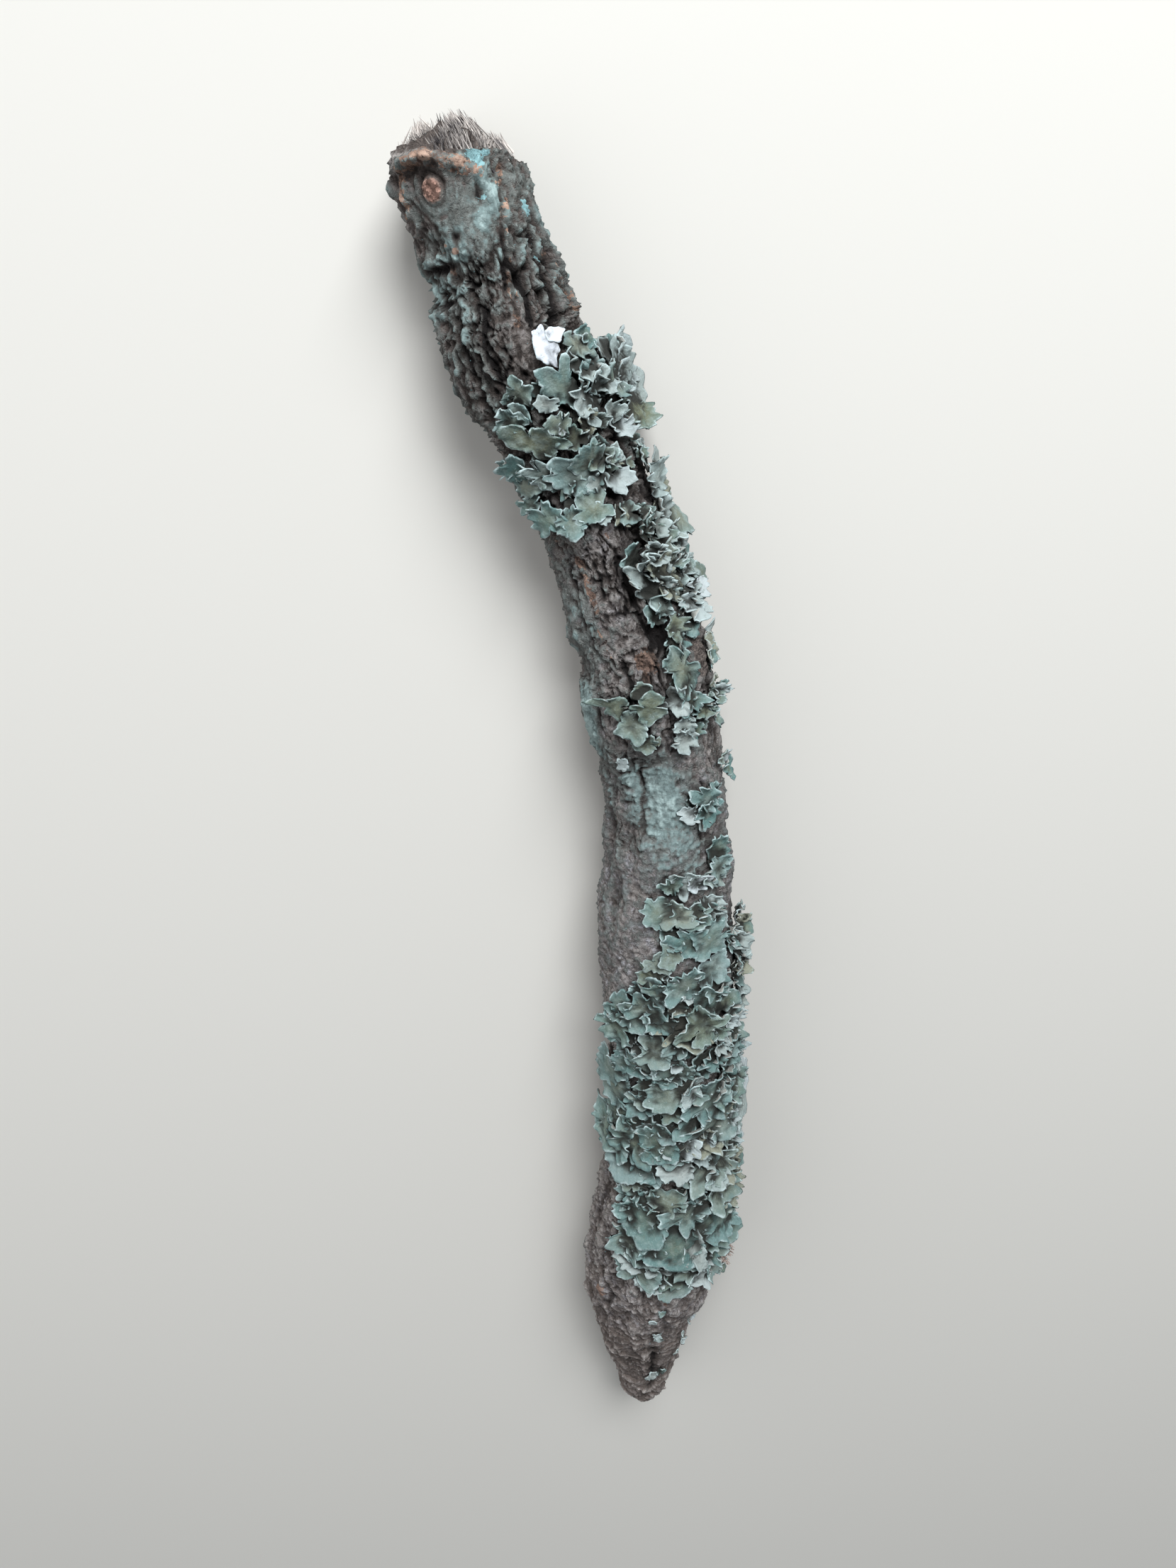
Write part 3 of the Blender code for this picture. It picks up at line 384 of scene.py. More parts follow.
SKIRT = (
    (-45, -41, -130, 12.5, 36, 10, 8, "t"), (-43, -43, -100, 10, 36, 10, 8, "t"),
    (-47, -31, 180, 8.5, 30, 12, 12, "t"), (-40, -19, 175, 8, 46, 8, 10, "g"),
    (-39, -10, 172, 9, 44, 8, 10, "o"), (-38.5, 2, 185, 11, 36, 18, 10, "g"),
    (-38.5, 21, 205, 11, 12, 22, 10, "p"), (-43.5, 30, 180, 12.5, 36, 10, 12, "t"),
    (-40, 42, 110, 8.5, 40, 12, 12, "t"), (-44, 48, 130, 8.5, 40, 12, 12, "g"),
    (-50, 20, 185, 11.5, 32, 12, 12, "t"), (-50, 38, 170, 14.5, 32, 10, 12, "t"),
    (-56, 30, 178, 9.5, 46, 16, 16, "w"), (-58, 46, 165, 9.5, 42, 14, 16, "w"),
    (-45, 56, 172, 11, 34, 10, 12, "g"), (-45, -20, 185, 7.5, 42, 12, 14, "g"),
    (-54, -49, 180, 9.5, 42, 8, 10, "o"), (-50, -2, 182, 6, 46, 14, 14, "o"),
    (-58, -31, -165, 14, 40, 10, 12, "t"), (-60, -44, -165, 12, 36, 8, 10, "g"),
    (-58, -25, 185, 14.5, 36, 10, 12, "g"), (-60, -15, 162, 10.5, 36, 10, 12, "t"),
    (-62, -43, -140, 12, 36, 12, 10, "t"), (-66, -29, 184, 13.5, 40, 12, 12, "t"),
    (-54, -12, 180, 9, 46, 12, 14, "g"), (-58, 12, 170, 10, 46, 18, 14, "n"),
    (-62, 30, 150, 6, 44, 30, 20, "n"), (-60, 36, 190, 7, 44, 24, 18, "n"),
    (-64, 2, 120, 6, 30, 34, 20, "w"), (-65, 8, -150, 5.5, 30, 34, 20, "w"),
    (-67, 27, 190, 6, 30, 26, 14, "w"), (-68, -21, 185, 11, 42, 16, 14, "t"),
    (-63, -10, 190, 7, 38, 14, 14, "t"), (-64, 0, 180, 7, 38, 12, 14, "t"),
    (-69, 10, -165, 9, 30, 28, 18, "p"), (-70, 14, 175, 10, 40, 22, 18, "g"),
    (-68, 31, 165, 12, 30, 18, 14, "g"), (-70, 42, 175, 11, 28, 22, 14, "p"),
    (-77, -29, 180, 9, 46, 10, 12, "o"), (-78, -20, 180, 7, 46, 10, 12, "g"),
    (-80, 45, 165, 12, 26, 16, 10, "g"), (-84, 58, 160, 12.5, 22, 20, 8, "n"),
    (-78, 22, 180, 10, 34, 10, 10, "t"), (-81, -18, 190, 11, 46, 12, 14, "t"),
    (-84, -14, 182, 15, 44, 12, 14, "t"), (-82, -6, 160, 9.5, 40, 16, 14, "o"),
    (-86, 19, 195, 10.5, 46, 16, 14, "t"), (-86, 30, 170, 8.5, 40, 14, 14, "g"),
    (-95, 38, 165, 13.5, 34, 14, 14, "t"), (-94, 48, 172, 9.5, 34, 14, 14, "t"),
    (-86, -23, -115, 7, 42, 10, 12, "t"), (-88, -19, -160, 8, 42, 10, 12, "g"),
    (-95, -21, -135, 7, 42, 10, 12, "t"), (-99, -25, -160, 9.5, 38, 12, 14, "t"),
    (-100, -16, 180, 9.5, 42, 12, 14, "o"), (-99, -22, 175, 9, 36, 10, 12, "g"),
    (-97, 10, 185, 10.5, 50, 14, 14, "t"), (-100, -12, 185, 9, 38, 10, 12, "g"),
    (-99, 19, 168, 12, 12, 24, 12, "p"), (-105.24, -17, 185, 9.5, 44, 14, 14, "p"),
    (-106.73, -22, 190, 5.5, 40, 18, 14, "w"), (-104.64, -6, 185, 8, 45, 12, 14, "g"),
    (-106.25, 4, 175, 6, 45, 14, 16, "g"), (-108.6, -2, 190, 5.5, 45, 16, 18, "p"),
    (-107.26, 12, 170, 5.5, 45, 16, 18, "g"), (-109.5, -17, 190, 9.5, 44, 14, 14, "t"),
    (-113.5, -6, 187, 7.5, 40, 16, 14, "p"), (-113.5, 5, 180, 9, 38, 14, 14, "t"),
    (-112.5, 12, 170, 8, 38, 14, 14, "o"), (-106.25, 22, 185, 6.5, 45, 22, 20, "g"),
    (-110.5, 24, 180, 7, 42, 22, 20, "o"), (-105.77, 42, 170, 9, 28, 28, 18, "t"),
    (-102, 56, 172, 7.5, 26, 26, 18, "g"), (-108.6, 38, 190, 6, 34, 26, 22, "p"),
    (-109.5, 46, 172, 5.5, 36, 30, 22, "o"), (-115.5, 48, 176, 5, 38, 28, 18, "g"),
    (-125.5, 72, 165, 4, 38, 30, 18, "o"), (-114.5, 36, 180, 6.5, 36, 18, 14, "p"),
    (-50, 76, 60, 7.5, 42, 54, 0, "w"), (-54, 78, 110, 8, 42, 54, 0, "w"),
    (-59, 78, 60, 8, 42, 52, 0, "p"), (-61, 80, 90, 6.5, 42, 56, 0, "w"),
    (-63, 76, 120, 8, 42, 50, 0, "p"), (-66, 80, 80, 6.5, 42, 54, 0, "w"),
    (-68, 78, 90, 7.5, 44, 52, 0, "p"), (-74, 76, 120, 8, 40, 44, 0, "w"),
    (-80, 78, 150, 8.5, 28, 48, 0, "t"), (-57, 66, 175, 9, 40, 14, 5, "p"),
    (-66, 66, 175, 9, 40, 14, 5, "g"), (-75, 64, 175, 9.5, 36, 14, 5, "n"),
    (-84, 72, 170, 9, 36, 14, 5, "n"), (-87, 64, 165, 8.5, 36, 12, 5, "n"),
)
TIP_SCALES = (
    (-180.5, 9, 178, 4.4, 40, 5, 6, "p"), (-182.5, 25, 168, 3.2, 38, 5, 6, "t"),
    (-149, 10, 140, 2.6, 45, 20, 20, "w"), (-151, 14, 170, 2.8, 40, 24, 20, "p"),
    (-136, 2, 200, 2.6, 40, 16, 10, "w"), (-133, 4, 20, 2.4, 40, 14, 10, "t"),
    (-145, 52, 170, 3, 36, 20, 20, "w"), (-150, 55, 190, 2.6, 36, 20, 20, "p"),
    (-160, 50, 170, 2.4, 40, 20, 20, "p"), (-166, 52, 160, 2.6, 40, 20, 20, "w"),
    (-172, 48, 190, 2.4, 40, 20, 20, "p"),
)
LICHENS = {
    "lichen_upper": UPPER,
    "lichen_shoulder": SHOULDER,
    "lichen_saddle": SADDLE,
    "lichen_valley_leaf": VALLEY_LEAF + WHITE_SCALE,
    "lichen_right_scales": RIGHT_SCALES + RIGHT_CLUMP,
    "lichen_right_shingles": RIGHT_SHINGLES,
    "lichen_collar": COLLAR,
    "lichen_skirt": SKIRT,
    "lichen_tip_scales": TIP_SCALES,
}
# How olive, pale and tan each tone is: turquoise, grey-green, olive, pale, whitish, snow
# white (the chip) and tan.
TONES = {
    "t": (0.24, 0.05, 0.0),
    "g": (0.60, 0.12, 0.0),
    "o": (0.90, 0.05, 0.0),
    "p": (0.35, 0.58, 0.12),
    "w": (0.15, 0.76, 0.0),
    "s": (0.10, 1.00, 0.0),
    "n": (0.70, 0.30, 0.90),
}

# How the lichens' painted shade falls on what lies beneath them: the grid's cells along the branch
# and round it, and how deep a sheet and the bark lie where the painted shade is quite dark.
COVER_CELL = 0.6
COVER_COLUMNS = 180
COVER_DEPTH = 0.50
BARK_COVER_DEPTH = 2.6

# How a lobe's sheet is made: thickness, height over the bark, mesh pitch, width of a lobule,
# the curl below which a sheet lies nearly flat, and the length from which smaller ones may
# fill in beside it.
SHEET = 0.30
LIFT = 0.4
PITCH = 0.58
LOBULE = 3.8
CALM = 5
SHORTEST_FILLED = 4.5

# How wide each lichen's sheets are, how often smaller ones fill in and how ruffled they are.
STYLES = {
    "lichen_upper": (0.72, 0.25, 1.0),
    "lichen_shoulder": (0.72, 0.30, 0.9),
    "lichen_saddle": (0.78, 0.30, 0.9),
    "lichen_collar": (0.95, 0.25, 0.75),
    "lichen_skirt": (1.12, 0.12, 0.6),
    "lichen_tip_scales": (0.85, 0.0, 0.8),
}
PLAIN_STYLE = (1.0, 0.30, 0.8)

# Small curled pieces along the lichens' right-hand side: node, then along from and to,
# around from and to, and how many.
FRINGES = {
    "lichen_upper": ((118, 150, 50, 84, 6), (128, 146, 20, 44, 5)),
    "lichen_shoulder": ((96, 124, 58, 88, 14),),
    "lichen_saddle": ((66, 84, 50, 84, 10),),
    "lichen_collar": ((-34, 6, 52, 86, 22),),
    "lichen_skirt": ((-92, -38, 58, 88, 28), (-72, -50, 24, 50, 8)),
}
FRINGE_TONES = "wwpppggton"
FRINGE_CURL = 20


# Numbers along the branch


def spine_slope(index, column):
    before = SPINE[max(index - 1, 0)]
    after = SPINE[min(index + 1, len(SPINE) - 1)]
    return (after[column] - before[column]) / (after[0] - before[0])


def spine_value(along, column):
    """A smooth curve through one column of the spine."""
    index = 0
    while index < len(SPINE) - 2 and along > SPINE[index + 1][0]:
        index += 1
    start, end = SPINE[index], SPINE[index + 1]
    span = end[0] - start[0]
    t = (along - start[0]) / span
    rise_start = spine_slope(index, column) * span
    rise_end = spine_slope(index + 1, column) * span
    return (
        (2 * t**3 - 3 * t**2 + 1) * start[column]
        + (t**3 - 2 * t**2 + t) * rise_start
        + (3 * t**2 - 2 * t**3) * end[column]
        + (t**3 - t**2) * rise_end
    )


ALONG = np.arange(-213.0, 214.0, 0.5)
SIDEWAYS = np.array([spine_value(along, 1) for along in ALONG])
RADIUS = np.array([spine_value(along, 2) for along in ALONG])
SLOPE = np.gradient(SIDEWAYS, ALONG)
CENTRE = np.where(
    ALONG >= TAPER_START,
    RADIUS - SINK,
    spine_value(TAPER_START, 2) - SINK - TAPER_SLOPE * (TAPER_START - ALONG),
)


def radius_at(along):
    return np.interp(along, ALONG, RADIUS)


def surface(along, around, height=0.0, share=1.0):
    """Points over the bark: around is 0 at the top and 90 at +X."""
    slope = np.interp(along, ALONG, SLOPE)
    size = np.hypot(1, slope)
    angle = np.radians(around)
    reach = radius_at(along) * share + height
    out = reach * np.sin(angle)
    x = np.interp(along, ALONG, SIDEWAYS) + out / size
    y = along - out * slope / size
    z = np.interp(along, ALONG, CENTRE) + reach * np.cos(angle)
    return np.stack((x, y, z), axis=-1)


def within(points):
    """Draws in what would reach beyond the lichens' limits, more softly the further it is."""
    for column, low, high in LIMITS:
        over = np.maximum(points[..., column] - high, 0)
        points[..., column] -= over - over / (1 + over / SOFT_LIMIT)
        below = np.maximum(low - points[..., column], 0)
        points[..., column] += below - below / (1 + below / SOFT_LIMIT)
    return points


def table_value(along, table):
    return np.interp(along, [row[0] for row in table], [row[1] for row in table])


def noise_at(points, size=1.0, shift=0.0):
    scaled = np.asarray(points) / size + shift
    flat = scaled.reshape(-1, 3).tolist()
    return np.array([noise.noise(point) for point in flat]).reshape(scaled.shape[:-1])


def smooth(low, high, value):
    t = np.clip((value - low) / (high - low), 0, 1)
    return t * t * (3 - 2 * t)


def spots(along, around, table, power=1.0):
    """The sum of soft spots: along, around, half length, half width and strength."""
    total = np.zeros_like(along)
    for spot_along, spot_around, half_length, half_width, strength in table:
        turn = (around - spot_around + 180) % 360 - 180
        sideways = np.radians(turn) * radius_at(along)
        far = ((along - spot_along) / half_length) ** 2 + (sideways / half_width) ** 2
        total += strength * np.exp(-(far**power))
    return total


def lines(along, around, table):
    """The sum of soft lines through points given as along, around."""
    total = np.zeros_like(along)
    radius = radius_at(along)
    for width, strength, *points in table:
        nearest = np.full_like(along, 1e6)
        for start, end in zip(points, points[1:]):
            begin = np.radians(around - start[1]) * radius, along - start[0]
            run = np.radians(end[1] - start[1]) * radius, end[0] - start[0]
            share = (begin[0] * run[0] + begin[1] * run[1]) / (run[0] ** 2 + run[1] ** 2)
            share = np.clip(share, 0, 1)
            far = np.hypot(begin[0] - share * run[0], begin[1] - share * run[1])
            nearest = np.minimum(nearest, far)
        total += strength * np.exp(-((nearest / width) ** 2))
    return total


def ring_points(along, around):
    radius = radius_at(along)
    angle = np.radians(around)
    return np.stack((radius * np.sin(angle), radius * np.cos(angle), along), axis=-1)


def broad_relief(along, around):
    """Height of the bark's swells, furrows and lumps, in millimetres."""
    ring = ring_points(along, around)
    swell = noise_at(ring, SWELL_SIZE)
    furrow = 0.35 - np.abs(noise_at(ring / FURROW_SIZE))
    return SWELL_DEPTH * swell + FURROW_DEPTH * furrow + spots(along, around, LUMPS)


def soften(grid, size):
    """A grid blurred along the branch, its first axis, and round it, its second."""
    out = grid
    for _ in range(2):
        for axis, mode in enumerate(("edge", "wrap")):
            reach = size[axis]
            pads = [(reach, reach) if axis == which else (0, 0) for which in (0, 1)]
            summed = np.cumsum(np.pad(out, pads, mode=mode), axis=axis)
            summed = np.concatenate((np.zeros_like(summed.take([0], axis)), summed), axis=axis)
            count = 2 * reach + 1
            high = summed.take(range(count, summed.shape[axis]), axis)
            low = summed.take(range(0, summed.shape[axis] - count), axis)
            out = (high - low) / count
    return out


class Cover:
    """How high the lichens stand over each spot of the bark, for the shade painted beneath them."""

    def __init__(self):
        self.rows = int((ALONG[-1] - ALONG[0]) / COVER_CELL) + 1
        self.top = np.zeros((self.rows, COVER_COLUMNS))
        self.near = self.wide = self.top

    def place(self, along, around):
        row = np.clip((along - ALONG[0]) / COVER_CELL, 0, self.rows - 1).astype(int)
        column = np.floor(around * COVER_COLUMNS / 360).astype(int)
        return row, column % COVER_COLUMNS

    def add(self, along, around, high):
        np.maximum.at(self.top, self.place(along, around), high)

    def finish(self):
        self.near = soften(self.top, (2, 2))
        self.wide = soften(self.top, (4, 5))

    def over(self, along, around, high, reach):
        """The painted shade: near 1 deep beneath a sheet, and less in a hollow between sheets."""
        place = self.place(along, around)
        near = np.clip((self.near[place] - high) / reach, 0, 1)
        wide = np.clip((self.wide[place] - high + 0.1) / (2.6 * reach), 0, 0.9)
        return 1 - (1 - near) * (1 - wide)


# The bark


def valleys(points, width):
    """Thin wandering lines, 1 along their middle: where a noise passes through nothing."""
    return np.exp(-((noise_at(points) / width) ** 2))


def flakes(points, levels):
    """Flat steps with sharp ledges between them, from a noise."""
    value = noise_at(points) * levels
    whole = np.floor(value)
    return (whole + smooth(0.72, 1.0, value - whole)) / levels


def plates(points):
    """Cells split by cracks: how far from a crack, and a level and slant for each plate."""
    inside, level = np.empty(len(points)), np.empty(len(points))
    for index, point in enumerate(points.tolist()):
        far, near = noise.voronoi(point)
        slant = 1.3 * (noise.cell(near[0] + Vector((9, 5, 3))) - 0.5)
        inside[index] = far[1] - far[0]
        level[index] = noise.cell(near[0]) + slant * (point[2] - near[0].z)
    return smooth(0.03, 0.30, inside), level


def bark_detail(along, around):
    """Height of plates, cracks and grain, and how deep in a crack each point is."""
    ring = ring_points(along, around)
    plain = np.clip(1 - spots(along, around, SMOOTH_SPOTS), 0, 2.5)
    furrowed = table_value(along, FURROWED) * plain
    crossed = table_value(along, CROSSED) * plain
    warp = np.stack([noise_at(ring, 3.4, shift) for shift in (3.1, 17.7, 41.3)], axis=-1)
    bent = ring + warp * WARP
    # Cracks, then flakes, grain and knobs.
    wide = valleys(bent / WIDE_CRACKS, 0.055)
    narrow = valleys(bent / NARROW_CRACKS + 7.0, 0.075)
    narrow *= smooth(-0.25, 0.2, noise_at(ring, 9.0, 2.0))
    across = valleys(bent / CROSS_CRACKS + 13.0, 0.09)
    across *= smooth(-0.15, 0.25, noise_at(ring, 6.0, 6.0))
    height = -furrowed * (1.1 * wide + 0.6 * narrow) - 0.7 * crossed * across
    height += (0.25 + furrowed) * 0.7 * flakes(bent / LONG_FLAKES + 21.0, 2.5)
    height += (0.2 + crossed) * 0.7 * flakes(bent / SHORT_FLAKES + 31.0, 2.5)
    height += (0.2 + 0.25 * crossed) * noise_at(bent, 1.5, 5.0) + 0.28 * noise_at(ring, 0.8, 8.0)
    height += 0.55 * smooth(-70, -40, along) * smooth(70, 45, along) * noise_at(ring, 1.3, 24.0)
    knobs = 0.5 - 1.6 * np.abs(noise_at(bent / KNOBS + 71.0))
    height += (0.15 + 0.55 * crossed * furrowed) * knobs
    # Plates, where the bark is furrowed.
    flat, level = plates(bent / PLATES + 83.0)
    small, step = plates(bent / SMALL_PLATES + 91.0)
    plated = (0.08 + 0.92 * furrowed) * (0.45 + 0.3 * smooth(128, 146, along))
    height += plated * (0.9 * (flat - 1) + 0.7 * level + 0.45 * (small - 1) + 0.5 * step)
    # Wrinkles, strips and ledges towards the tip, then the single ridges and grooves.
    wrinkle = np.sin(along * 2.1 + 8 * noise_at(ring, 8.0, 2.0)) * smooth(-146, -158, along)
    wrinkle *= smooth(-0.15, 0.3, noise_at(ring, 6.0, 11.0)) * smooth(150, 50, np.abs(around))
    strips = smooth(-75, -110, along) * smooth(-150, -132, along)
    ledges = smooth(-136, -152, along)
    height += strips * 1.5 * flakes(bent / STRIPS + 51.0, 2.2)
    height += ledges * 1.8 * flakes(bent / LEDGES + 57.0, 1.8)
    height += 0.45 * wrinkle + lines(along, around, RELIEF_LINES)
    # Dark are the cracks, the plates' edges and the grooves; under ledges it is painted shade.
    groove = np.clip(-lines(along, around, RELIEF_LINES), 0, 1)
    dark = furrowed * (0.8 * wide + 0.4 * narrow) + 0.4 * crossed * across
    dark += plated * (0.75 * (1 - flat) + 0.3 * (1 - small))
    dark *= 1 - 0.45 * smooth(70, 85, along)
    return height, np.clip(dark + groove * (0.35 + 0.65 * smooth(-125, -115, along)), 0, 1)


def knot_relief(along, around):
    """The healed knot: a raised core, a dark gap round it, ripples and the smooth area."""
    sideways = np.radians(around - KNOT[1]) * radius_at(along)
    far = np.hypot((along - KNOT[0]) / 1.15, sideways)
    core = 1 - smooth(KNOT[2] - 0.5, KNOT[2] + 0.1, far)
    gap = np.exp(-(((far - KNOT[2] - 0.4) / 0.5) ** 2))
    ripple = np.sin(far * 5.2) * np.exp(-(((far - 5.0) / 1.8) ** 2))
    upper = smooth(-1.5, 1.5, along - KNOT[0])
    rough = noise_at(np.stack((along, sideways, 0 * along), -1), 0.9)
    height = core * (0.2 + 0.9 * rough) - gap * (0.4 + 1.2 * upper) + 0.16 * ripple
    clear = np.exp(-((np.hypot(along - KNOT[0], sideways) / KNOT_CLEAR) ** 4))
    return height, core, gap, clear


def tube_places(around, ring):
    """Where the points are along the branch, how far out, and how far up the wood.

    The last rings turn over the rim of the bark and run up the broken wood.
    """
    turn = np.radians(around)
    circle = np.stack((np.sin(turn), np.cos(turn), 0 * turn), -1)
    rim = table_value(around, BARK_EDGE) + RIM_WAVES * noise_at(circle * 7)
    on_bark = np.clip(ring / BARK_SHARE, 0, 1)
    on_wood = np.clip((ring - BARK_SHARE) / (1 - BARK_SHARE), 0, 1)
    along = TIP + (rim - TIP) * on_bark
    inward = np.interp(on_wood, WOOD_STEPS, WOOD_INWARD)
    crest = table_value(inward * radius_at(along) * np.sin(turn), WOOD_OUTLINE) - CREST_DROP
    climb = np.interp(on_wood, WOOD_STEPS, WOOD_CLIMB)
    climb = climb * (1 - 0.6 * np.clip(inward * np.cos(turn), 0, 1))
    share = TIP_CLOSED + (1 - TIP_CLOSED) * np.sqrt(smooth(0, TIP_SHARE, ring))
    return along + (crest - along) * climb, share * inward, on_wood


def close_tube(work, mesh):
    """Joins the tube's seam, and turns its faces outward."""
    work.clear()
    work.from_mesh(mesh)
    bmesh.ops.remove_doubles(work, verts=work.verts, dist=1e-6)
    bmesh.ops.recalc_face_normals(work, faces=work.faces)
    if sum(face.normal.dot(face.calc_center_median() - CORE) for face in work.faces) < 0:
        bmesh.ops.reverse_faces(work, faces=work.faces)
    for face in work.faces:
        face.smooth = True
    work.to_mesh(mesh)
    work.free()


def bark_mesh(name, start, end, rings, painted_shade):
    """A length of the bark as a fine tube, with what its colours depend on as attributes."""
    work = bmesh.new()
    bmesh.ops.create_grid(work, x_segments=BARK_SIDES, y_segments=rings, size=1)
    mesh = bpy.data.meshes.new(name)
    work.to_mesh(mesh)
    co = np.empty(len(mesh.vertices) * 3)
    mesh.vertices.foreach_get("co", co)
    across, onward = co[0::3], co[1::3]
    # Closer columns on top than underneath.
    around = 180 * (across - TOP_SHARE * np.sin(np.pi * across) / np.pi)
    ring = start + (end - start) * (onward + 1) / 2
    along, share, on_wood = tube_places(around, ring)
    wood = on_wood > 0
    height, crack = bark_detail(along, around)
    knot, core, gap, clear = knot_relief(along, around)
    detail = height * (1 - 0.8 * clear) + knot + spots(along, around, SMALL_LUMPS)
    height = (detail + broad_relief(along, around)) * smooth(0, 2 * TIP_SHARE, ring)
    # How much lower each point lies than its neighbours, for painted shade in the hollows.
    column = np.rint((across + 1) / 2 * BARK_SIDES).astype(int)
    row = np.rint((onward + 1) / 2 * rings).astype(int)
    grid = np.zeros((rings + 1, BARK_SIDES + 1))
    grid[row, column] = height
    hollow = (soften(grid, (3, 3)) - grid)[row, column]
    # Painted shade on the bark under the lichens.
    shade_under_lichens = painted_shade.over(along, around, height, BARK_COVER_DEPTH)
    # The broken wood is streaked instead.
    streaked = ring_points(along, around) / WOOD_GRAIN
    rough = noise_at(streaked, 1.0, 3.0) + 0.6 * noise_at(streaked, 0.45, 9.0)
    height = np.where(wood, 2.2 * rough * smooth(0, 0.1, on_wood), height)
    along = along + np.where(wood, 2.6 * rough * smooth(0.3, 0.8, on_wood), 0)
    place = surface(along, around, height, share)
    place[:, 2] = np.maximum(place[:, 2], LEAST_CLEAR)
    belly = (np.abs(around) > 180 - BELLY_HALF_ANGLE) & (along > TAPER_START) & ~wood
    place[belly, 2] = 0.0
    mesh.vertices.foreach_set("co", (place * MM).ravel())
    # Painted shade in the knot's gap, under the lichens and in the holes, added to the cracks'
    # dark.
    crack = crack + 0.9 * gap + shade_under_lichens + spots(along, around, HOLES, 2)
    # Lighter on raised bark and by the LIGHTER table: partly the bark's own colour, partly painted
    # light and shade.
    ridge = 0.5 + 0.36 * detail + table_value(along, LIGHTER)
    fields = {
        # The broken wood beneath the splinters is darkened as painted shade between them.
        "crack": np.where(wood, 0.72, np.clip(crack, 0, 1.6)),
        "hollow": np.clip(hollow, -1, 1),
        "ridge": np.where(wood, 0.5 + 0.5 * rough, np.clip(ridge, 0, 1.3)),
        "lilac": table_value(along, LILAC),
        "crust": table_value(along, CRUSTED) * 0.9 + spots(along, around, CRUST_SPOTS),
        "rust": spots(along, around, RUST_SPOTS, 2) + lines(along, around, RUST_LINES),
        "fleck": spots(along, around, FLECK_SPOTS),
        "grainy": table_value(along, GRAINY),
        "knot": core,
        "wood": np.clip(wood + spots(along, around, WOOD_SPOTS, 2), 0, 1),
    }
    for label, values in fields.items():
        layer = mesh.attributes.new(label, "FLOAT", "POINT")
        layer.data.foreach_set("value", values.astype(np.float32))
    close_tube(work, mesh)
    return mesh


# Broken wood


def add_strand(work, tone_layer, root, tip, width, tone):
    """One splinter: a thin four-sided spike. A tone below 0 means the stub's wood."""
    run = tip - root
    turn = run.to_track_quat("Z", "Y").to_matrix().to_4x4()
    place = Matrix.Translation((root + tip) / 2) @ turn
    made = bmesh.ops.create_cone(
        work,
        cap_ends=True,
        segments=4,
        radius1=width,
        radius2=width * 0.12,
        depth=run.length,
        matrix=place,
    )
    for vertex in made["verts"]:
        vertex[tone_layer] = tone


def splinter_mesh(rng):
    """Fibres on the frayed end and splinters on the stub of the side twig."""
    work = bmesh.new()
    tone_layer = work.verts.layers.float.new("tone")
    for _ in range(TUFTS):
        around = rng.gauss(0, 80)
        share = (0.93 if abs(around) < 60 else 0.82) * math.sqrt(rng.random())
        rim = table_value(around, BARK_EDGE)
        lateral = share * WOOD_RADIUS * math.sin(math.radians(around))
        upward = max(0, share * math.cos(math.radians(around)))
        hollow = math.exp(-(((lateral + 3) / 6) ** 2)) * smooth(0.1, 0.4, upward)
        crest = table_value(lateral, WOOD_OUTLINE)
        crest = rim + (crest - rim) * (1 - 0.75 * upward) - 1.0 * hollow
        crest -= 1.1 + 1.6 * noise.noise((lateral / 1.6, share * 3, 4.0)) + abs(rng.gauss(0, 1.6))
        tone = 0.56 + 1.3 * noise.noise((lateral / 1.3, crest / 3.0, 9.0)) + rng.gauss(0, 0.16)
        # Painted shade: the strands in the hollow are darker.
        tone *= 1 - 0.75 * hollow
        lean = -0.42 + 0.7 * noise.noise((lateral / 3.0, crest / 5.0, 14.0))
        if lateral > 9 and rng.random() < 0.4:
            lean, tone = rng.uniform(0.2, 0.7), 0.95
        in_tuft = -9 < lateral < -5.5 and upward < 0.3
        if in_tuft:
            lean, tone = rng.gauss(-0.2, 0.5), 0.95
        lift = rng.gauss(0.02, 0.14)
        for _ in range(rng.randint(3, 7) + 4 * in_tuft):
            run = Vector((lean + rng.gauss(0, 0.16), 1, lift + rng.gauss(0, 0.12))).normalized()
            side = Vector((rng.gauss(0, 0.6), 0, rng.gauss(0, 0.4)))
            end = Vector(surface(crest + rng.gauss(0, 0.6) + 1.0, around, 0.2, share)) + side
            root = end - run * rng.uniform(3.0, 6.5) * (0.6 if lateral > 8 else 1)
            ends = [
                Vector((max(MOST_LEFT, at.x), min(MOST_ALONG, at.y), max(LEAST_HIGH, at.z))) * MM
                for at in (root, end)
            ]
            mixed = min(1, max(0, tone + rng.gauss(0, 0.18)))
            add_strand(work, tone_layer, *ends, rng.uniform(0.13, 0.36) * MM, mixed)
    for _ in range(STUB_SPLINTERS):
        along = STUB[0] + rng.gauss(0, 1.7)
        around = STUB[1] + rng.gauss(0, 6)
        root = Vector(surface(along, around, 1.0))
        out = 1.2 * (root - Vector(surface(along, around, 0.0)))
        run = out + Vector((rng.gauss(0, 0.25), -0.6 + rng.gauss(0, 0.35), rng.gauss(0, 0.3)))
        tip = root + run * rng.uniform(1.0, 2.8)
        add_strand(work, tone_layer, root * MM, tip * MM, rng.uniform(0.5, 0.95) * MM, -1.0)
    mesh = bpy.data.meshes.new("splinters")
    work.to_mesh(mesh)
    work.free()
    return mesh


# Lichens


def circle_points(turn, seed):
    return np.stack((np.cos(turn), np.sin(turn), 0 * turn + seed), axis=-1)


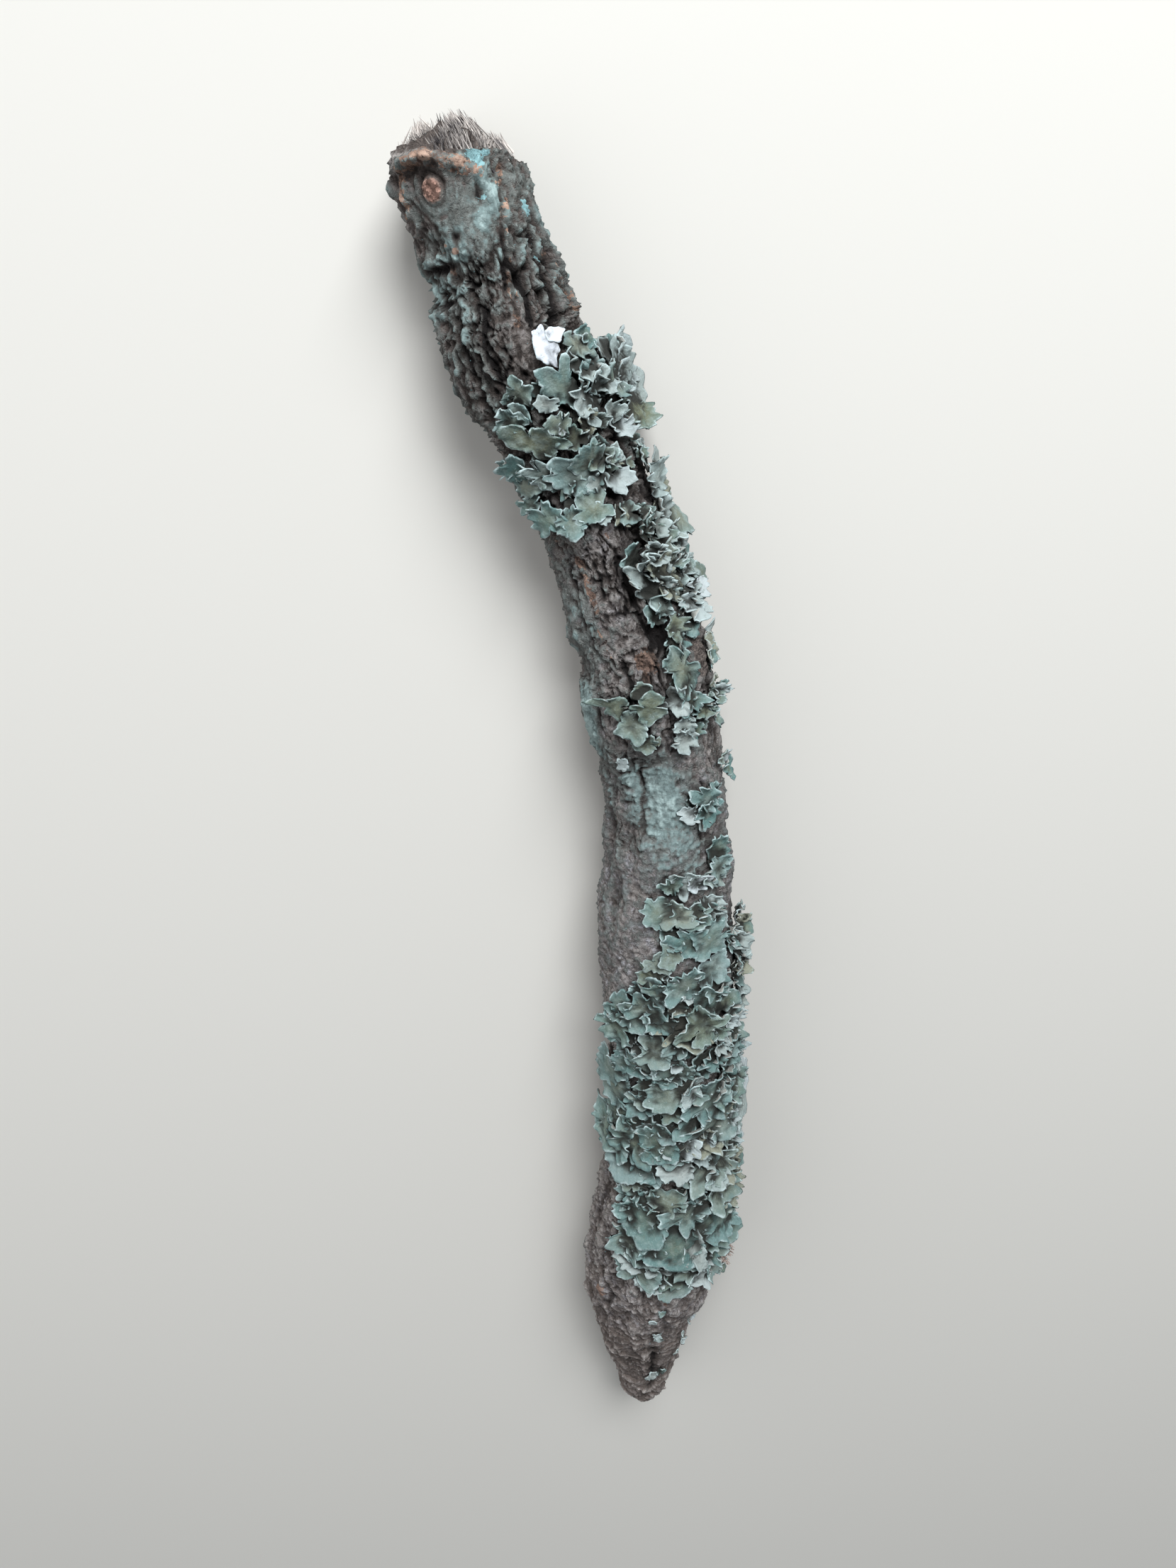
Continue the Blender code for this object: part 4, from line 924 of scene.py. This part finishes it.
def sheet_rim(turn, size, seed, ruffled, rng):
    """Reach of a sheet's outline all round: lobes, rounded lobules, nicks and teeth."""
    ring = circle_points(turn, seed)
    reach = 1 + 0.52 * noise_at(ring, 1.1) + 0.34 * noise_at(ring, 0.5, 5.0)
    reach = reach + 0.10 * noise_at(ring, 0.22, 7.0)
    count = max(5, round(2 * math.pi * size / LOBULE * rng.uniform(0.8, 1.25)))
    bumps = np.abs(np.cos(count * turn / 2 + 2.4 * noise_at(ring, 0.7, 9.0))) ** 0.55
    depth = 0.02 + 0.15 * smooth(-0.25, 0.35, noise_at(ring, 0.8, 14.0))
    reach = reach * (1 - depth * (1 - bumps))
    for _ in range(round(ruffled * rng.choice((1, 2, 3, 3, 4)))):
        away = (turn - rng.uniform(-2.2, 2.2) + np.pi) % (2 * np.pi) - np.pi
        width = rng.uniform(0.08, 0.22)
        reach = reach * (1 - rng.uniform(0.20, 0.58) * np.exp(-((away / width) ** 2)))
    teeth = np.clip(2.2 * np.abs(noise_at(ring, 0.55 / size, 30.0)), 0, 1)
    return np.maximum(reach - teeth * rng.uniform(0.25, 0.55) / size, 0.25)


def half_width(length, spread):
    return length * min(0.66, max(0.24, math.sin(math.radians(spread))))


def lobe_places(row, columns, rows, ruffled, rng):
    """Where a lobe's sheet lies: along, around and height of its grid, and 1 at its rim."""
    along, around, heading, length, spread, rise, curl, lift = row
    seed = rng.uniform(0, 90)
    steps = [np.linspace(-1, 1, count + 1) for count in (columns, rows)]
    x, y = np.meshgrid(*steps, indexing="ij")
    ahead, aside = y * np.sqrt(1 - x * x / 2), x * np.sqrt(1 - y * y / 2)
    edge, turn = np.hypot(ahead, aside), np.arctan2(aside, ahead)
    ring = circle_points(turn, seed)
    reach = sheet_rim(turn, 0.5 * length, seed, ruffled, rng)
    if curl < CALM:
        # Nearly flat pieces are angular, with five soft corners.
        corner = (turn + seed) % (0.4 * np.pi) - 0.2 * np.pi
        reach = 0.86 / np.cos(corner) * (1 + 0.25 * noise_at(ring, 0.6))
    out = 0.54 * length * (0.9 + ahead * reach)
    off = half_width(length, spread) * aside * reach * (1 + 0.25 * ahead)
    # The sheet rises from its root and turns up or down towards its far rim.
    t = np.linspace(-0.25, 1.6, 75)
    bend = rng.uniform(-10, 10)
    pitch = np.radians(0.75 * rise * smooth(0, 0.35, t) + (0.6 * curl + bend) * smooth(0.45, 1, t))
    pace = length * (t[1] - t[0])
    far = np.interp(out, t * length, np.cumsum(pace * np.cos(pitch)) - pace * 10)
    high = np.interp(out, t * length, np.cumsum(pace * np.sin(pitch)))
    heading = math.radians(heading)
    ahead = far * math.cos(heading) - off * math.sin(heading)
    across = far * math.sin(heading) + off * math.cos(heading)
    # Livelier on the right-hand shoulder.
    lively = (0.8 + 0.7 * math.exp(-(((around - 50) / 20) ** 2))) * rng.uniform(0.7, 1.3)
    lively *= 0.35 if curl < CALM else 1
    flat = np.stack((ahead, across, 0 * ahead + seed), axis=-1)
    waves = 1.6 * noise_at(flat, 5.5) * (0.35 + 0.9 * smooth(0.3, 1, edge))
    lip = smooth(0.70, 1, edge) * (0.55 + 2.2 * noise_at(ring, 0.55 * 5 / (length + 2), 3.0))
    creases = 0.5 * noise_at(ring * 2.6 + (0, 0, 4)) * smooth(0.1, 0.6, edge)
    frill = 1.1 * ruffled * noise_at(ring * (1.4 + 0.22 * length), 1.0, 6.0) * smooth(0.5, 1, edge)
    high = high + min(1, length / 8) * lively * (waves + lip + creases + frill)
    high = high + 0.30 * noise_at(flat, 1.7)
    place_along = along + ahead
    place_around = around + np.degrees(across / float(radius_at(along)))
    ground = broad_relief(place_along, place_around)
    lifted = LIFT + lift + high + ground * (1 - 0.5 * np.clip(out / length, 0, 1))
    lifted = np.maximum(lifted, ground + 0.15 + lift)
    return place_along, place_around, lifted, edge


def add_sheet(work, layers, row, tone, fine, ruffled, rng):
    """One lobe: a fine grid bent into its place, with its colours as attributes."""
    length, spread = row[3], row[4]
    columns = max(6, round(2 * half_width(length, spread) / PITCH / fine))
    rows = max(6, round(1.1 * length / PITCH / fine))
    made = bmesh.ops.create_grid(work, x_segments=columns, y_segments=rows, size=1)["verts"]
    along, around, high, edge = lobe_places(row, columns, rows, ruffled, rng)
    points = within(surface(along, around, high)) * MM
    values = {**dict(zip(("olive", "pale", "tan"), tone)), "shade": rng.random()}
    fields = {"edge": edge, "along": along, "around": around, "high": high}
    for vertex in made:
        i = round((vertex.co.x + 1) / 2 * columns)
        j = round((vertex.co.y + 1) / 2 * rows)
        vertex.co = points[i, j]
        for label, value in fields.items():
            vertex[layers[label]] = value[i, j]
        for label, value in values.items():
            vertex[layers[label]] = value


def mesh_field(mesh, label):
    values = np.empty(len(mesh.vertices), dtype=np.float32)
    mesh.attributes[label].data.foreach_get("value", values)
    return values.astype(float)


def shade_covered(mesh, painted_shade):
    """Paints shade where a sheet lies beneath others; drops the places it no longer needs."""
    places = [mesh_field(mesh, label) for label in ("along", "around", "high")]
    layer = mesh.attributes.new("painted_shade", "FLOAT", "POINT")
    layer.data.foreach_set("value", painted_shade.over(*places, COVER_DEPTH).astype(np.float32))
    for label in ("along", "around", "high"):
        mesh.attributes.remove(mesh.attributes[label])


def wander(value, spread, rng):
    return min(1, max(0, value + rng.gauss(0, spread)))


def fringe_lobes(fringes, rng):
    """Rows for the small curled pieces of a lichen's fringe, like the listed lobes."""
    rows = []
    for start, end, low, high, count in fringes:
        for _ in range(count):
            around = rng.uniform(low, high)
            rise = rng.uniform(10, 34) + 24 * (around > 64)
            headings = [rng.uniform(*span) for span in ((60, 130), (120, 170), (30, 80))]
            heading = rng.choice(headings)
            length = rng.uniform(3.2, 6.8)
            letter = rng.choice(FRINGE_TONES)
            along, spread = rng.uniform(start, end), rng.uniform(20, 42)
            rows.append((along, around, heading, length, spread, rise, FRINGE_CURL, letter))
    return rows


def lichen_mesh(name, lobes, style, rng, painted_shade):
    """All lobes of one lichen, with smaller ones filling in beneath them."""
    width, fill, ruffled = style
    work = bmesh.new()
    names = ("edge", "olive", "pale", "tan", "shade", "along", "around", "high")
    layers = {label: work.verts.layers.float.new(label) for label in names}
    for along, around, heading, length, spread, rise, curl, letter in lobes:
        olive, pale, tan = TONES[letter]
        tone = (wander(olive, 0.20, rng), wander(pale, 0.08, rng), tan)
        lift = 0.2 + rng.uniform(0, 1.6) * min(1, length / 9)
        size = length * rng.uniform(0.98, 1.18)
        spread = spread * width
        row = (along, around, heading, size, spread, rise, curl, lift)
        add_sheet(work, layers, row, tone, 1, ruffled, rng)
        if length < SHORTEST_FILLED or rng.random() > fill:
            continue
        back = math.radians(heading)
        small = (
            along + rng.uniform(-0.1, 0.5) * length * math.cos(back) + rng.gauss(0, 1.5),
            around + rng.uniform(-1, 1) * length * math.sin(back) + rng.gauss(0, 6),
            heading + rng.choice((-1, 1)) * rng.uniform(30, 90),
            length * rng.uniform(0.40, 0.75),
            min(48, spread + 6),
            max(5, rise * 0.75 - 4),
            curl + rng.uniform(0, 10),
            0.0,
        )
        under = (wander(olive + 0.25, 0.12, rng), wander(pale * 0.5, 0.06, rng), tan * 0.5)
        add_sheet(work, layers, small, under, 1.2, ruffled, rng)
    for face in work.faces:
        face.smooth = True
    mesh = bpy.data.meshes.new(name)
    work.to_mesh(mesh)
    work.free()
    painted_shade.add(*[mesh_field(mesh, label) for label in ("along", "around", "high")])
    return mesh


# Materials

# The bark: its ramp from hollow to ridge, then what lies on it and in its cracks.
BARK_RAMP = (
    (0.34, (0.142, 0.112, 0.098)),
    (0.50, (0.262, 0.226, 0.207)),
    (0.68, (0.440, 0.395, 0.370)),
)
LILAC_FILM = (0.330, 0.300, 0.303)
CHALK = (0.520, 0.510, 0.550)
CRUST_FILM = (0.126, 0.143, 0.134)
CRUST_THICK = (0.172, 0.232, 0.228)
CRUST_THICKEST = (0.310, 0.388, 0.378)
RUST_DARK, RUST_PALE = (0.165, 0.088, 0.062), (0.500, 0.310, 0.225)
WOOD_DARK, WOOD_PALE = (0.085, 0.068, 0.064), (0.300, 0.245, 0.215)
KNOT_DARK, KNOT_PALE = (0.110, 0.062, 0.048), (0.400, 0.235, 0.185)
FINE_CRACK = (0.065, 0.052, 0.047)
# Painted shade in the bark's hollows.
HOLLOW_SHADE = (0.085, 0.069, 0.062)
# The cracks' dark together with painted shade, deepest where both add up.
CRACK_AND_SHADE, DEEP_CRACK_AND_SHADE = (0.048, 0.037, 0.033), (0.018, 0.014, 0.013)
FLECK = (0.255, 0.430, 0.450)

# The splinters of the frayed end and of the stub.
SPLINTER_DARK, SPLINTER_PALE = (0.048, 0.042, 0.044), (0.560, 0.500, 0.460)
SPLINTER_GREY = (0.230, 0.210, 0.215)
STUB_DARK, STUB_PALE = (0.120, 0.082, 0.068), (0.370, 0.300, 0.265)

# The lichens' upper and under sides.
TEAL, OLIVE = (0.076, 0.146, 0.139), (0.122, 0.126, 0.078)
GREY_GREEN = (0.140, 0.200, 0.182)
# Pale bloom, also used as painted highlight towards the rims.
BLOOM_AND_HIGHLIGHT = (0.290, 0.385, 0.385)
PALE, WHITE = (0.405, 0.440, 0.440), (0.620, 0.640, 0.690)
TAN = (0.225, 0.212, 0.148)
DUST = (0.390, 0.490, 0.480)
STAIN = (0.085, 0.092, 0.066)
# Pale rim, partly the lobe's own pale margin and partly painted highlight.
PALE_RIM_AND_HIGHLIGHT = (0.490, 0.580, 0.580)
# Painted shade, where a sheet lies beneath others.
SHADED = (0.018, 0.017, 0.014)
UNDER_DARK, UNDER_RIM = (0.050, 0.040, 0.030), (0.330, 0.330, 0.305)


class Paint:
    """One material and the nodes that colour it. Its place is in millimetres."""

    def __init__(self, name, roughness):
        self.material = bpy.data.materials.new(name)
        self.material.use_nodes = True
        self.tree = self.material.node_tree
        self.shader = self.tree.nodes["Principled BSDF"]
        self.shader.inputs["Roughness"].default_value = roughness
        self.shader.inputs["Specular IOR Level"].default_value = 0.25
        coordinates = self.node("ShaderNodeTexCoord").outputs["Object"]
        self.place = self.stretch(coordinates, (1000, 1000, 1000))

    def node(self, kind, inputs=None, **settings):
        made = self.tree.nodes.new(kind)
        for key, value in settings.items():
            setattr(made, key, value)
        for key, value in (inputs or {}).items():
            if isinstance(value, bpy.types.NodeSocket):
                self.tree.links.new(value, made.inputs[key])
            else:
                made.inputs[key].default_value = value
        return made

    def field(self, name):
        return self.node("ShaderNodeAttribute", attribute_name=name).outputs["Fac"]

    def combine(self, operation, one, two, clamp=False):
        made = self.node("ShaderNodeMath", {0: one, 1: two}, operation=operation, use_clamp=clamp)
        return made.outputs[0]

    def times(self, one, two):
        return self.combine("MULTIPLY", one, two)

    def plus(self, one, two, clamp=False):
        return self.combine("ADD", one, two, clamp)

    def minus(self, one, two):
        return self.combine("SUBTRACT", one, two)

    def step(self, value, low, high, first=0.0, last=1.0):
        """A soft step of the value from low to high, as a number from first to last."""
        limits = {"From Min": low, "From Max": high, "To Min": first, "To Max": last}
        inputs = {"Value": value, **limits}
        made = self.node("ShaderNodeMapRange", inputs, interpolation_type="SMOOTHSTEP")
        return made.outputs["Result"]

    def mix(self, share, one, two, blend="MIX"):
        """Socket 0 of the node is the share, 6 and 7 are the two colours."""
        one, two = [(*value, 1.0) if isinstance(value, tuple) else value for value in (one, two)]
        inputs = {0: share, 6: one, 7: two}
        return self.node("ShaderNodeMix", inputs, data_type="RGBA", blend_type=blend).outputs[2]

    def stretch(self, place, size, shift=(0.0, 0.0, 0.0)):
        inputs = {0: place, 1: size, 2: shift}
        return self.node("ShaderNodeVectorMath", inputs, operation="MULTIPLY_ADD").outputs[0]

    def drift(self, scale, detail, reach):
        """The place, pushed about by a noise."""
        inputs = {"Vector": self.place, "Scale": scale, "Detail": detail}
        made = self.node("ShaderNodeTexNoise", inputs)
        return self.stretch(made.outputs["Color"], (reach, reach, reach), self.place)

    def noise(self, scale, detail=4.0, roughness=0.6, place=None):
        inputs = {"Scale": scale, "Detail": detail, "Roughness": roughness}
        inputs["Vector"] = place or self.place
        return self.node("ShaderNodeTexNoise", inputs).outputs["Fac"]

    def uneven(self, value, strength):
        """How far a noise is from its middle, times a strength."""
        return self.times(self.minus(value, 0.5), strength)

    def finish(self, colour, relief=None, strength=1.0, reach=0.001):
        self.tree.links.new(colour, self.shader.inputs["Base Color"])
        if relief is not None:
            inputs = {"Height": relief, "Strength": strength, "Distance": reach}
            bump = self.node("ShaderNodeBump", inputs)
            self.tree.links.new(bump.outputs[0], self.shader.inputs["Normal"])
        return self.material


def crack_lines(paint):
    """Fine cracks along and across the branch, and the bark's small relief with them."""
    bent = paint.drift(0.5, 3.0, 2.6)
    masks = []
    for size, seed in (((0.62, 0.24, 0.62), 0.0), ((0.42, 0.95, 0.42), 7.0)):
        cells = {"Vector": paint.stretch(bent, size, (seed, seed, seed)), "Scale": 1.0}
        made = paint.node("ShaderNodeTexVoronoi", cells, feature="DISTANCE_TO_EDGE")
        line = paint.step(made.outputs["Distance"], 0.01, 0.10, 1.0, 0.0)
        gaps = paint.step(paint.noise(0.3 + seed * 0.03, 2.0), 0.44, 0.56)
        masks.append(paint.times(line, gaps))
    both = paint.combine("MAXIMUM", *masks)
    return both, paint.minus(paint.noise(1.5, 6.0, 0.75), paint.times(both, 0.35))


def bark_material():
    paint = Paint("bark", 0.9)
    fine = paint.noise(2.2, 5.0, 0.7)
    mixed = paint.plus(paint.times(paint.noise(0.45, 5.0, 0.65), 0.35), paint.times(fine, 0.3))
    # Partly painted light: raised bark lighter, and lighter and darker along the branch.
    mixed = paint.plus(mixed, paint.times(paint.field("ridge"), 0.35))
    # Painted shade: darker in the hollows.
    mixed = paint.minus(mixed, paint.times(paint.field("hollow"), 0.30))
    ramp = paint.node("ShaderNodeValToRGB", {"Fac": mixed})
    ramp.color_ramp.elements.new(0.5)
    for stop, (position, colour) in zip(ramp.color_ramp.elements, BARK_RAMP):
        stop.position = position
        stop.color = (*colour, 1)
    # The films and crusts on it.
    lilac = paint.times(paint.step(paint.noise(0.09, 3.0), 0.30, 0.55), paint.field("lilac"))
    colour = paint.mix(paint.times(lilac, 0.6), ramp.outputs["Color"], LILAC_FILM)
    chalk = paint.times(paint.step(paint.noise(0.35, 6.0, 0.7), 0.51, 0.62, 0.0, 0.85), lilac)
    colour = paint.mix(chalk, colour, CHALK)
    crust = paint.plus(paint.field("crust"), paint.uneven(mixed, 1.6))
    crust = paint.plus(crust, paint.uneven(paint.noise(0.28, 5.0), 2.4))
    film = paint.step(crust, 0.35, 0.95)
    colour = paint.mix(paint.times(film, 0.8), colour, CRUST_FILM)
    colour = paint.mix(paint.step(crust, 1.0, 1.6, 0.0, 0.85), colour, CRUST_THICK)
    colour = paint.mix(paint.step(crust, 1.6, 2.2, 0.0, 0.9), colour, CRUST_THICKEST)
    speckle = paint.step(paint.noise(0.7, 6.0, 0.7), 0.34, 0.66, 0.76, 1.24)
    colour = paint.mix(1.0, colour, speckle, "MULTIPLY")
    # Rust-coloured bits, the bare wood and the healed knot.
    bits = paint.node("ShaderNodeTexVoronoi", {"Vector": paint.drift(0.9, 4.0, 3.2), "Scale": 0.7})
    chance = paint.node("ShaderNodeSeparateColor", {"Color": bits.outputs["Color"]}).outputs
    rust = paint.times(paint.step(chance[0], 0.42, 0.56, 0.28, 1.15), paint.field("rust"))
    rust = paint.plus(rust, paint.uneven(fine, 1.6))
    tawny = paint.mix(chance[1], RUST_DARK, RUST_PALE)
    colour = paint.mix(paint.step(rust, 0.50, 0.80, 0.0, 0.82), colour, tawny)
    streaks = paint.noise(1.0, 4.0, place=paint.stretch(paint.place, (3.2, 0.35, 3.2)))
    wood = paint.mix(paint.step(streaks, 0.35, 0.65), WOOD_DARK, WOOD_PALE)
    colour = paint.mix(paint.step(paint.field("wood"), 0.35, 0.6), colour, wood)
    healed = paint.mix(paint.step(paint.noise(0.9, 3.0), 0.44, 0.60), KNOT_DARK, KNOT_PALE)
    colour = paint.mix(paint.field("knot"), colour, healed)
    # Cracks, fewer and fainter where a crust lies over them, painted shade in the hollows, under
    # the lichens, in the knot's gap and in holes, and the pale flecks.
    fine_cracks, relief = crack_lines(paint)
    bare = paint.times(paint.minus(0.42, paint.times(film, 0.35)), paint.field("grainy"))
    colour = paint.mix(paint.times(fine_cracks, bare), colour, FINE_CRACK)
    colour = paint.mix(paint.step(paint.field("hollow"), 0.15, 0.85, 0.0, 0.38), colour, HOLLOW_SHADE)
    crack = paint.field("crack")
    colour = paint.mix(paint.step(crack, 0.40, 1.0, 0.0, 0.62), colour, CRACK_AND_SHADE)
    colour = paint.mix(paint.step(crack, 1.0, 1.5), colour, DEEP_CRACK_AND_SHADE)
    fleck = paint.plus(paint.field("fleck"), paint.uneven(paint.noise(1.1, 3.0), 2.4))
    colour = paint.mix(paint.step(fleck, 0.50, 0.58), colour, FLECK)
    strength = paint.times(paint.step(crust, 0.6, 1.5, 1.0, 0.45), paint.field("grainy"))
    return paint.finish(colour, relief, strength, 0.0016)


def splinter_material():
    """Grey wood by its tone, and the stub's red-brown where the tone is below 0."""
    paint = Paint("splinters", 0.85)
    tone = paint.field("tone")
    fine = paint.noise(1.5, 3.0)
    colour = paint.mix(tone, SPLINTER_DARK, SPLINTER_PALE)
    colour = paint.mix(paint.step(fine, 0.55, 0.85), colour, SPLINTER_GREY)
    stub = paint.mix(paint.step(fine, 0.42, 0.58), STUB_DARK, STUB_PALE)
    return paint.finish(paint.mix(paint.step(paint.times(tone, -1.0), 0.4, 0.6), colour, stub))


def lichen_colour(paint):
    """The upper side's colour from the lobe's tone and the distance to its rim."""
    edge = paint.field("edge")
    middle = paint.noise(0.35, 4.0)
    inner = paint.times(paint.minus(0.62, edge), 0.85)
    inner = paint.plus(paint.uneven(middle, 2.0), inner)
    olive = paint.plus(paint.field("olive"), inner, clamp=True)
    colour = paint.mix(olive, TEAL, OLIVE)
    colour = paint.mix(paint.times(paint.field("shade"), 0.35), colour, GREY_GREEN)
    # Pale bloom in patches, and towards the rim a painted highlight.
    bloom_and_highlight = paint.step(middle, 0.46, 0.68, 0.0, 0.34)
    bloom_and_highlight = paint.plus(bloom_and_highlight, paint.step(edge, 0.50, 1.0, 0.0, 0.14))
    colour = paint.mix(bloom_and_highlight, colour, BLOOM_AND_HIGHLIGHT)
    pale = paint.field("pale")
    colour = paint.mix(pale, colour, PALE)
    colour = paint.mix(paint.step(pale, 0.8, 0.95), colour, WHITE)
    colour = paint.mix(paint.times(paint.field("tan"), 0.8), colour, TAN)
    colour = paint.mix(paint.step(paint.noise(2.4, 4.0, 0.7), 0.52, 0.72, 0.0, 0.26), colour, DUST)
    colour = paint.mix(paint.step(paint.noise(0.8, 5.0, 0.7), 0.55, 0.70, 0.0, 0.45), colour, STAIN)
    # A pale line along the rim, partly the lobe's own pale margin and partly painted highlight.
    rim = paint.times(paint.step(edge, 0.90, 0.99, 0.0, 0.72), paint.step(middle, 0.40, 0.60))
    colour = paint.mix(rim, colour, PALE_RIM_AND_HIGHLIGHT)
    # Painted shade where the sheet lies beneath others.
    return paint.mix(paint.times(paint.field("painted_shade"), 0.96), colour, SHADED)


def lichen_material(name, under):
    paint = Paint(name, 0.82)
    if under:
        colour = paint.mix(paint.step(paint.field("edge"), 0.3, 0.95), UNDER_DARK, UNDER_RIM)
    else:
        colour = lichen_colour(paint)
    return paint.finish(colour, paint.noise(0.9, 5.0), 0.7, 0.0006)


# The scene, in metres

FLOOR_COLOUR = (0.60, 0.57, 0.53, 1)
FLOOR_HALF = 2.5
FLOOR_HEIGHT = -0.0002
SKY_COLOUR = (0.86, 0.94, 1.0, 1)
SKY_STRENGTH = 0.24
CAMERA_PLACE = (-0.0042, 0.189, 0.314)
CAMERA_TILT = -25.8
CAMERA_LENS = 27.05
# Name, place, size, power and colour.
LIGHTS = (
    ("window", (0.22, 0.90, 0.75), 0.6, 22.0, (0.92, 0.97, 1.0)),
    ("fill", (-0.70, 0.20, 0.50), 1.2, 4.0, (0.96, 0.98, 1.0)),
)
DRAWS = 11


def new_object(name, mesh, *materials):
    item = bpy.data.objects.new(name, mesh)
    for material in materials:
        mesh.materials.append(material)
    bpy.context.scene.collection.objects.link(item)
    return item


def make_lichen(name, mesh, nodes, upper, lower):
    """One lichen's sheets with their thickness, in place of its node."""
    sheet = new_object(name, mesh, upper, lower)
    thick = sheet.modifiers.new("Thickness", "SOLIDIFY")
    thick.thickness = SHEET * MM
    thick.offset = -1.0
    thick.material_offset = 1
    thick.material_offset_rim = 0
    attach(sheet, "root")
    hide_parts(*nodes)


def make_floor():
    work = bmesh.new()
    bmesh.ops.create_grid(work, x_segments=1, y_segments=1, size=FLOOR_HALF)
    mesh = bpy.data.meshes.new("floor")
    work.to_mesh(mesh)
    work.free()
    paint = Paint("floor", 0.8)
    paint.shader.inputs["Base Color"].default_value = FLOOR_COLOUR
    floor = new_object("floor", mesh, paint.material)
    floor.location.z = FLOOR_HEIGHT


def make_light(name, place, size, power, colour):
    """A square light that shines on the branch's middle."""
    lamp = bpy.data.lights.new(name, "AREA")
    lamp.size = size
    lamp.energy = power
    lamp.color = colour
    item = bpy.data.objects.new(name, lamp)
    item.location = place
    item.rotation_euler = (-Vector(place)).to_track_quat("-Z", "Y").to_euler()
    bpy.context.scene.collection.objects.link(item)


def make_camera():
    camera = bpy.data.cameras.new("camera")
    camera.sensor_fit = "VERTICAL"
    camera.sensor_height = 36.0
    camera.lens = CAMERA_LENS
    camera.clip_start = 0.01
    item = bpy.data.objects.new("camera", camera)
    item.location = CAMERA_PLACE
    item.rotation_euler = (math.radians(CAMERA_TILT), 0, 0)
    bpy.context.scene.collection.objects.link(item)
    bpy.context.scene.camera = item


def make_world():
    world = bpy.data.worlds.new("sky")
    world.use_nodes = True
    back = world.node_tree.nodes["Background"]
    back.inputs["Color"].default_value = SKY_COLOUR
    back.inputs["Strength"].default_value = SKY_STRENGTH
    bpy.context.scene.world = world


def build():
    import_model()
    rng = random.Random(DRAWS)
    painted_shade = Cover()
    sheets = {
        node: lichen_mesh(
            node.replace("lichen_", "") + "_lobes",
            lobes + tuple(fringe_lobes(FRINGES.get(node, ()), rng)),
            STYLES.get(node, PLAIN_STYLE),
            rng,
            painted_shade,
        )
        for node, lobes in LICHENS.items()
    }
    painted_shade.finish()
    upper, lower = lichen_material("lichen", False), lichen_material("lichen_under", True)
    for node, mesh in sheets.items():
        shade_covered(mesh, painted_shade)
        make_lichen(mesh.name, mesh, [node], upper, lower)
    rind = bark_material()
    lower_bark = bark_mesh("bark_lower", 0.0, SEAM, LOWER_RINGS, painted_shade)
    upper_bark = bark_mesh("bark_upper", SEAM, 1.0, UPPER_RINGS, painted_shade)
    pieces = [new_object(mesh.name, mesh, rind) for mesh in (lower_bark, upper_bark)]
    pieces.append(new_object("splinters", splinter_mesh(rng), splinter_material()))
    for piece in pieces:
        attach(piece, "root")
        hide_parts("branch")
    make_floor()
    for light in LIGHTS:
        make_light(*light)
    make_camera()
    make_world()
    bpy.context.scene.view_settings.view_transform = "Standard"


build()
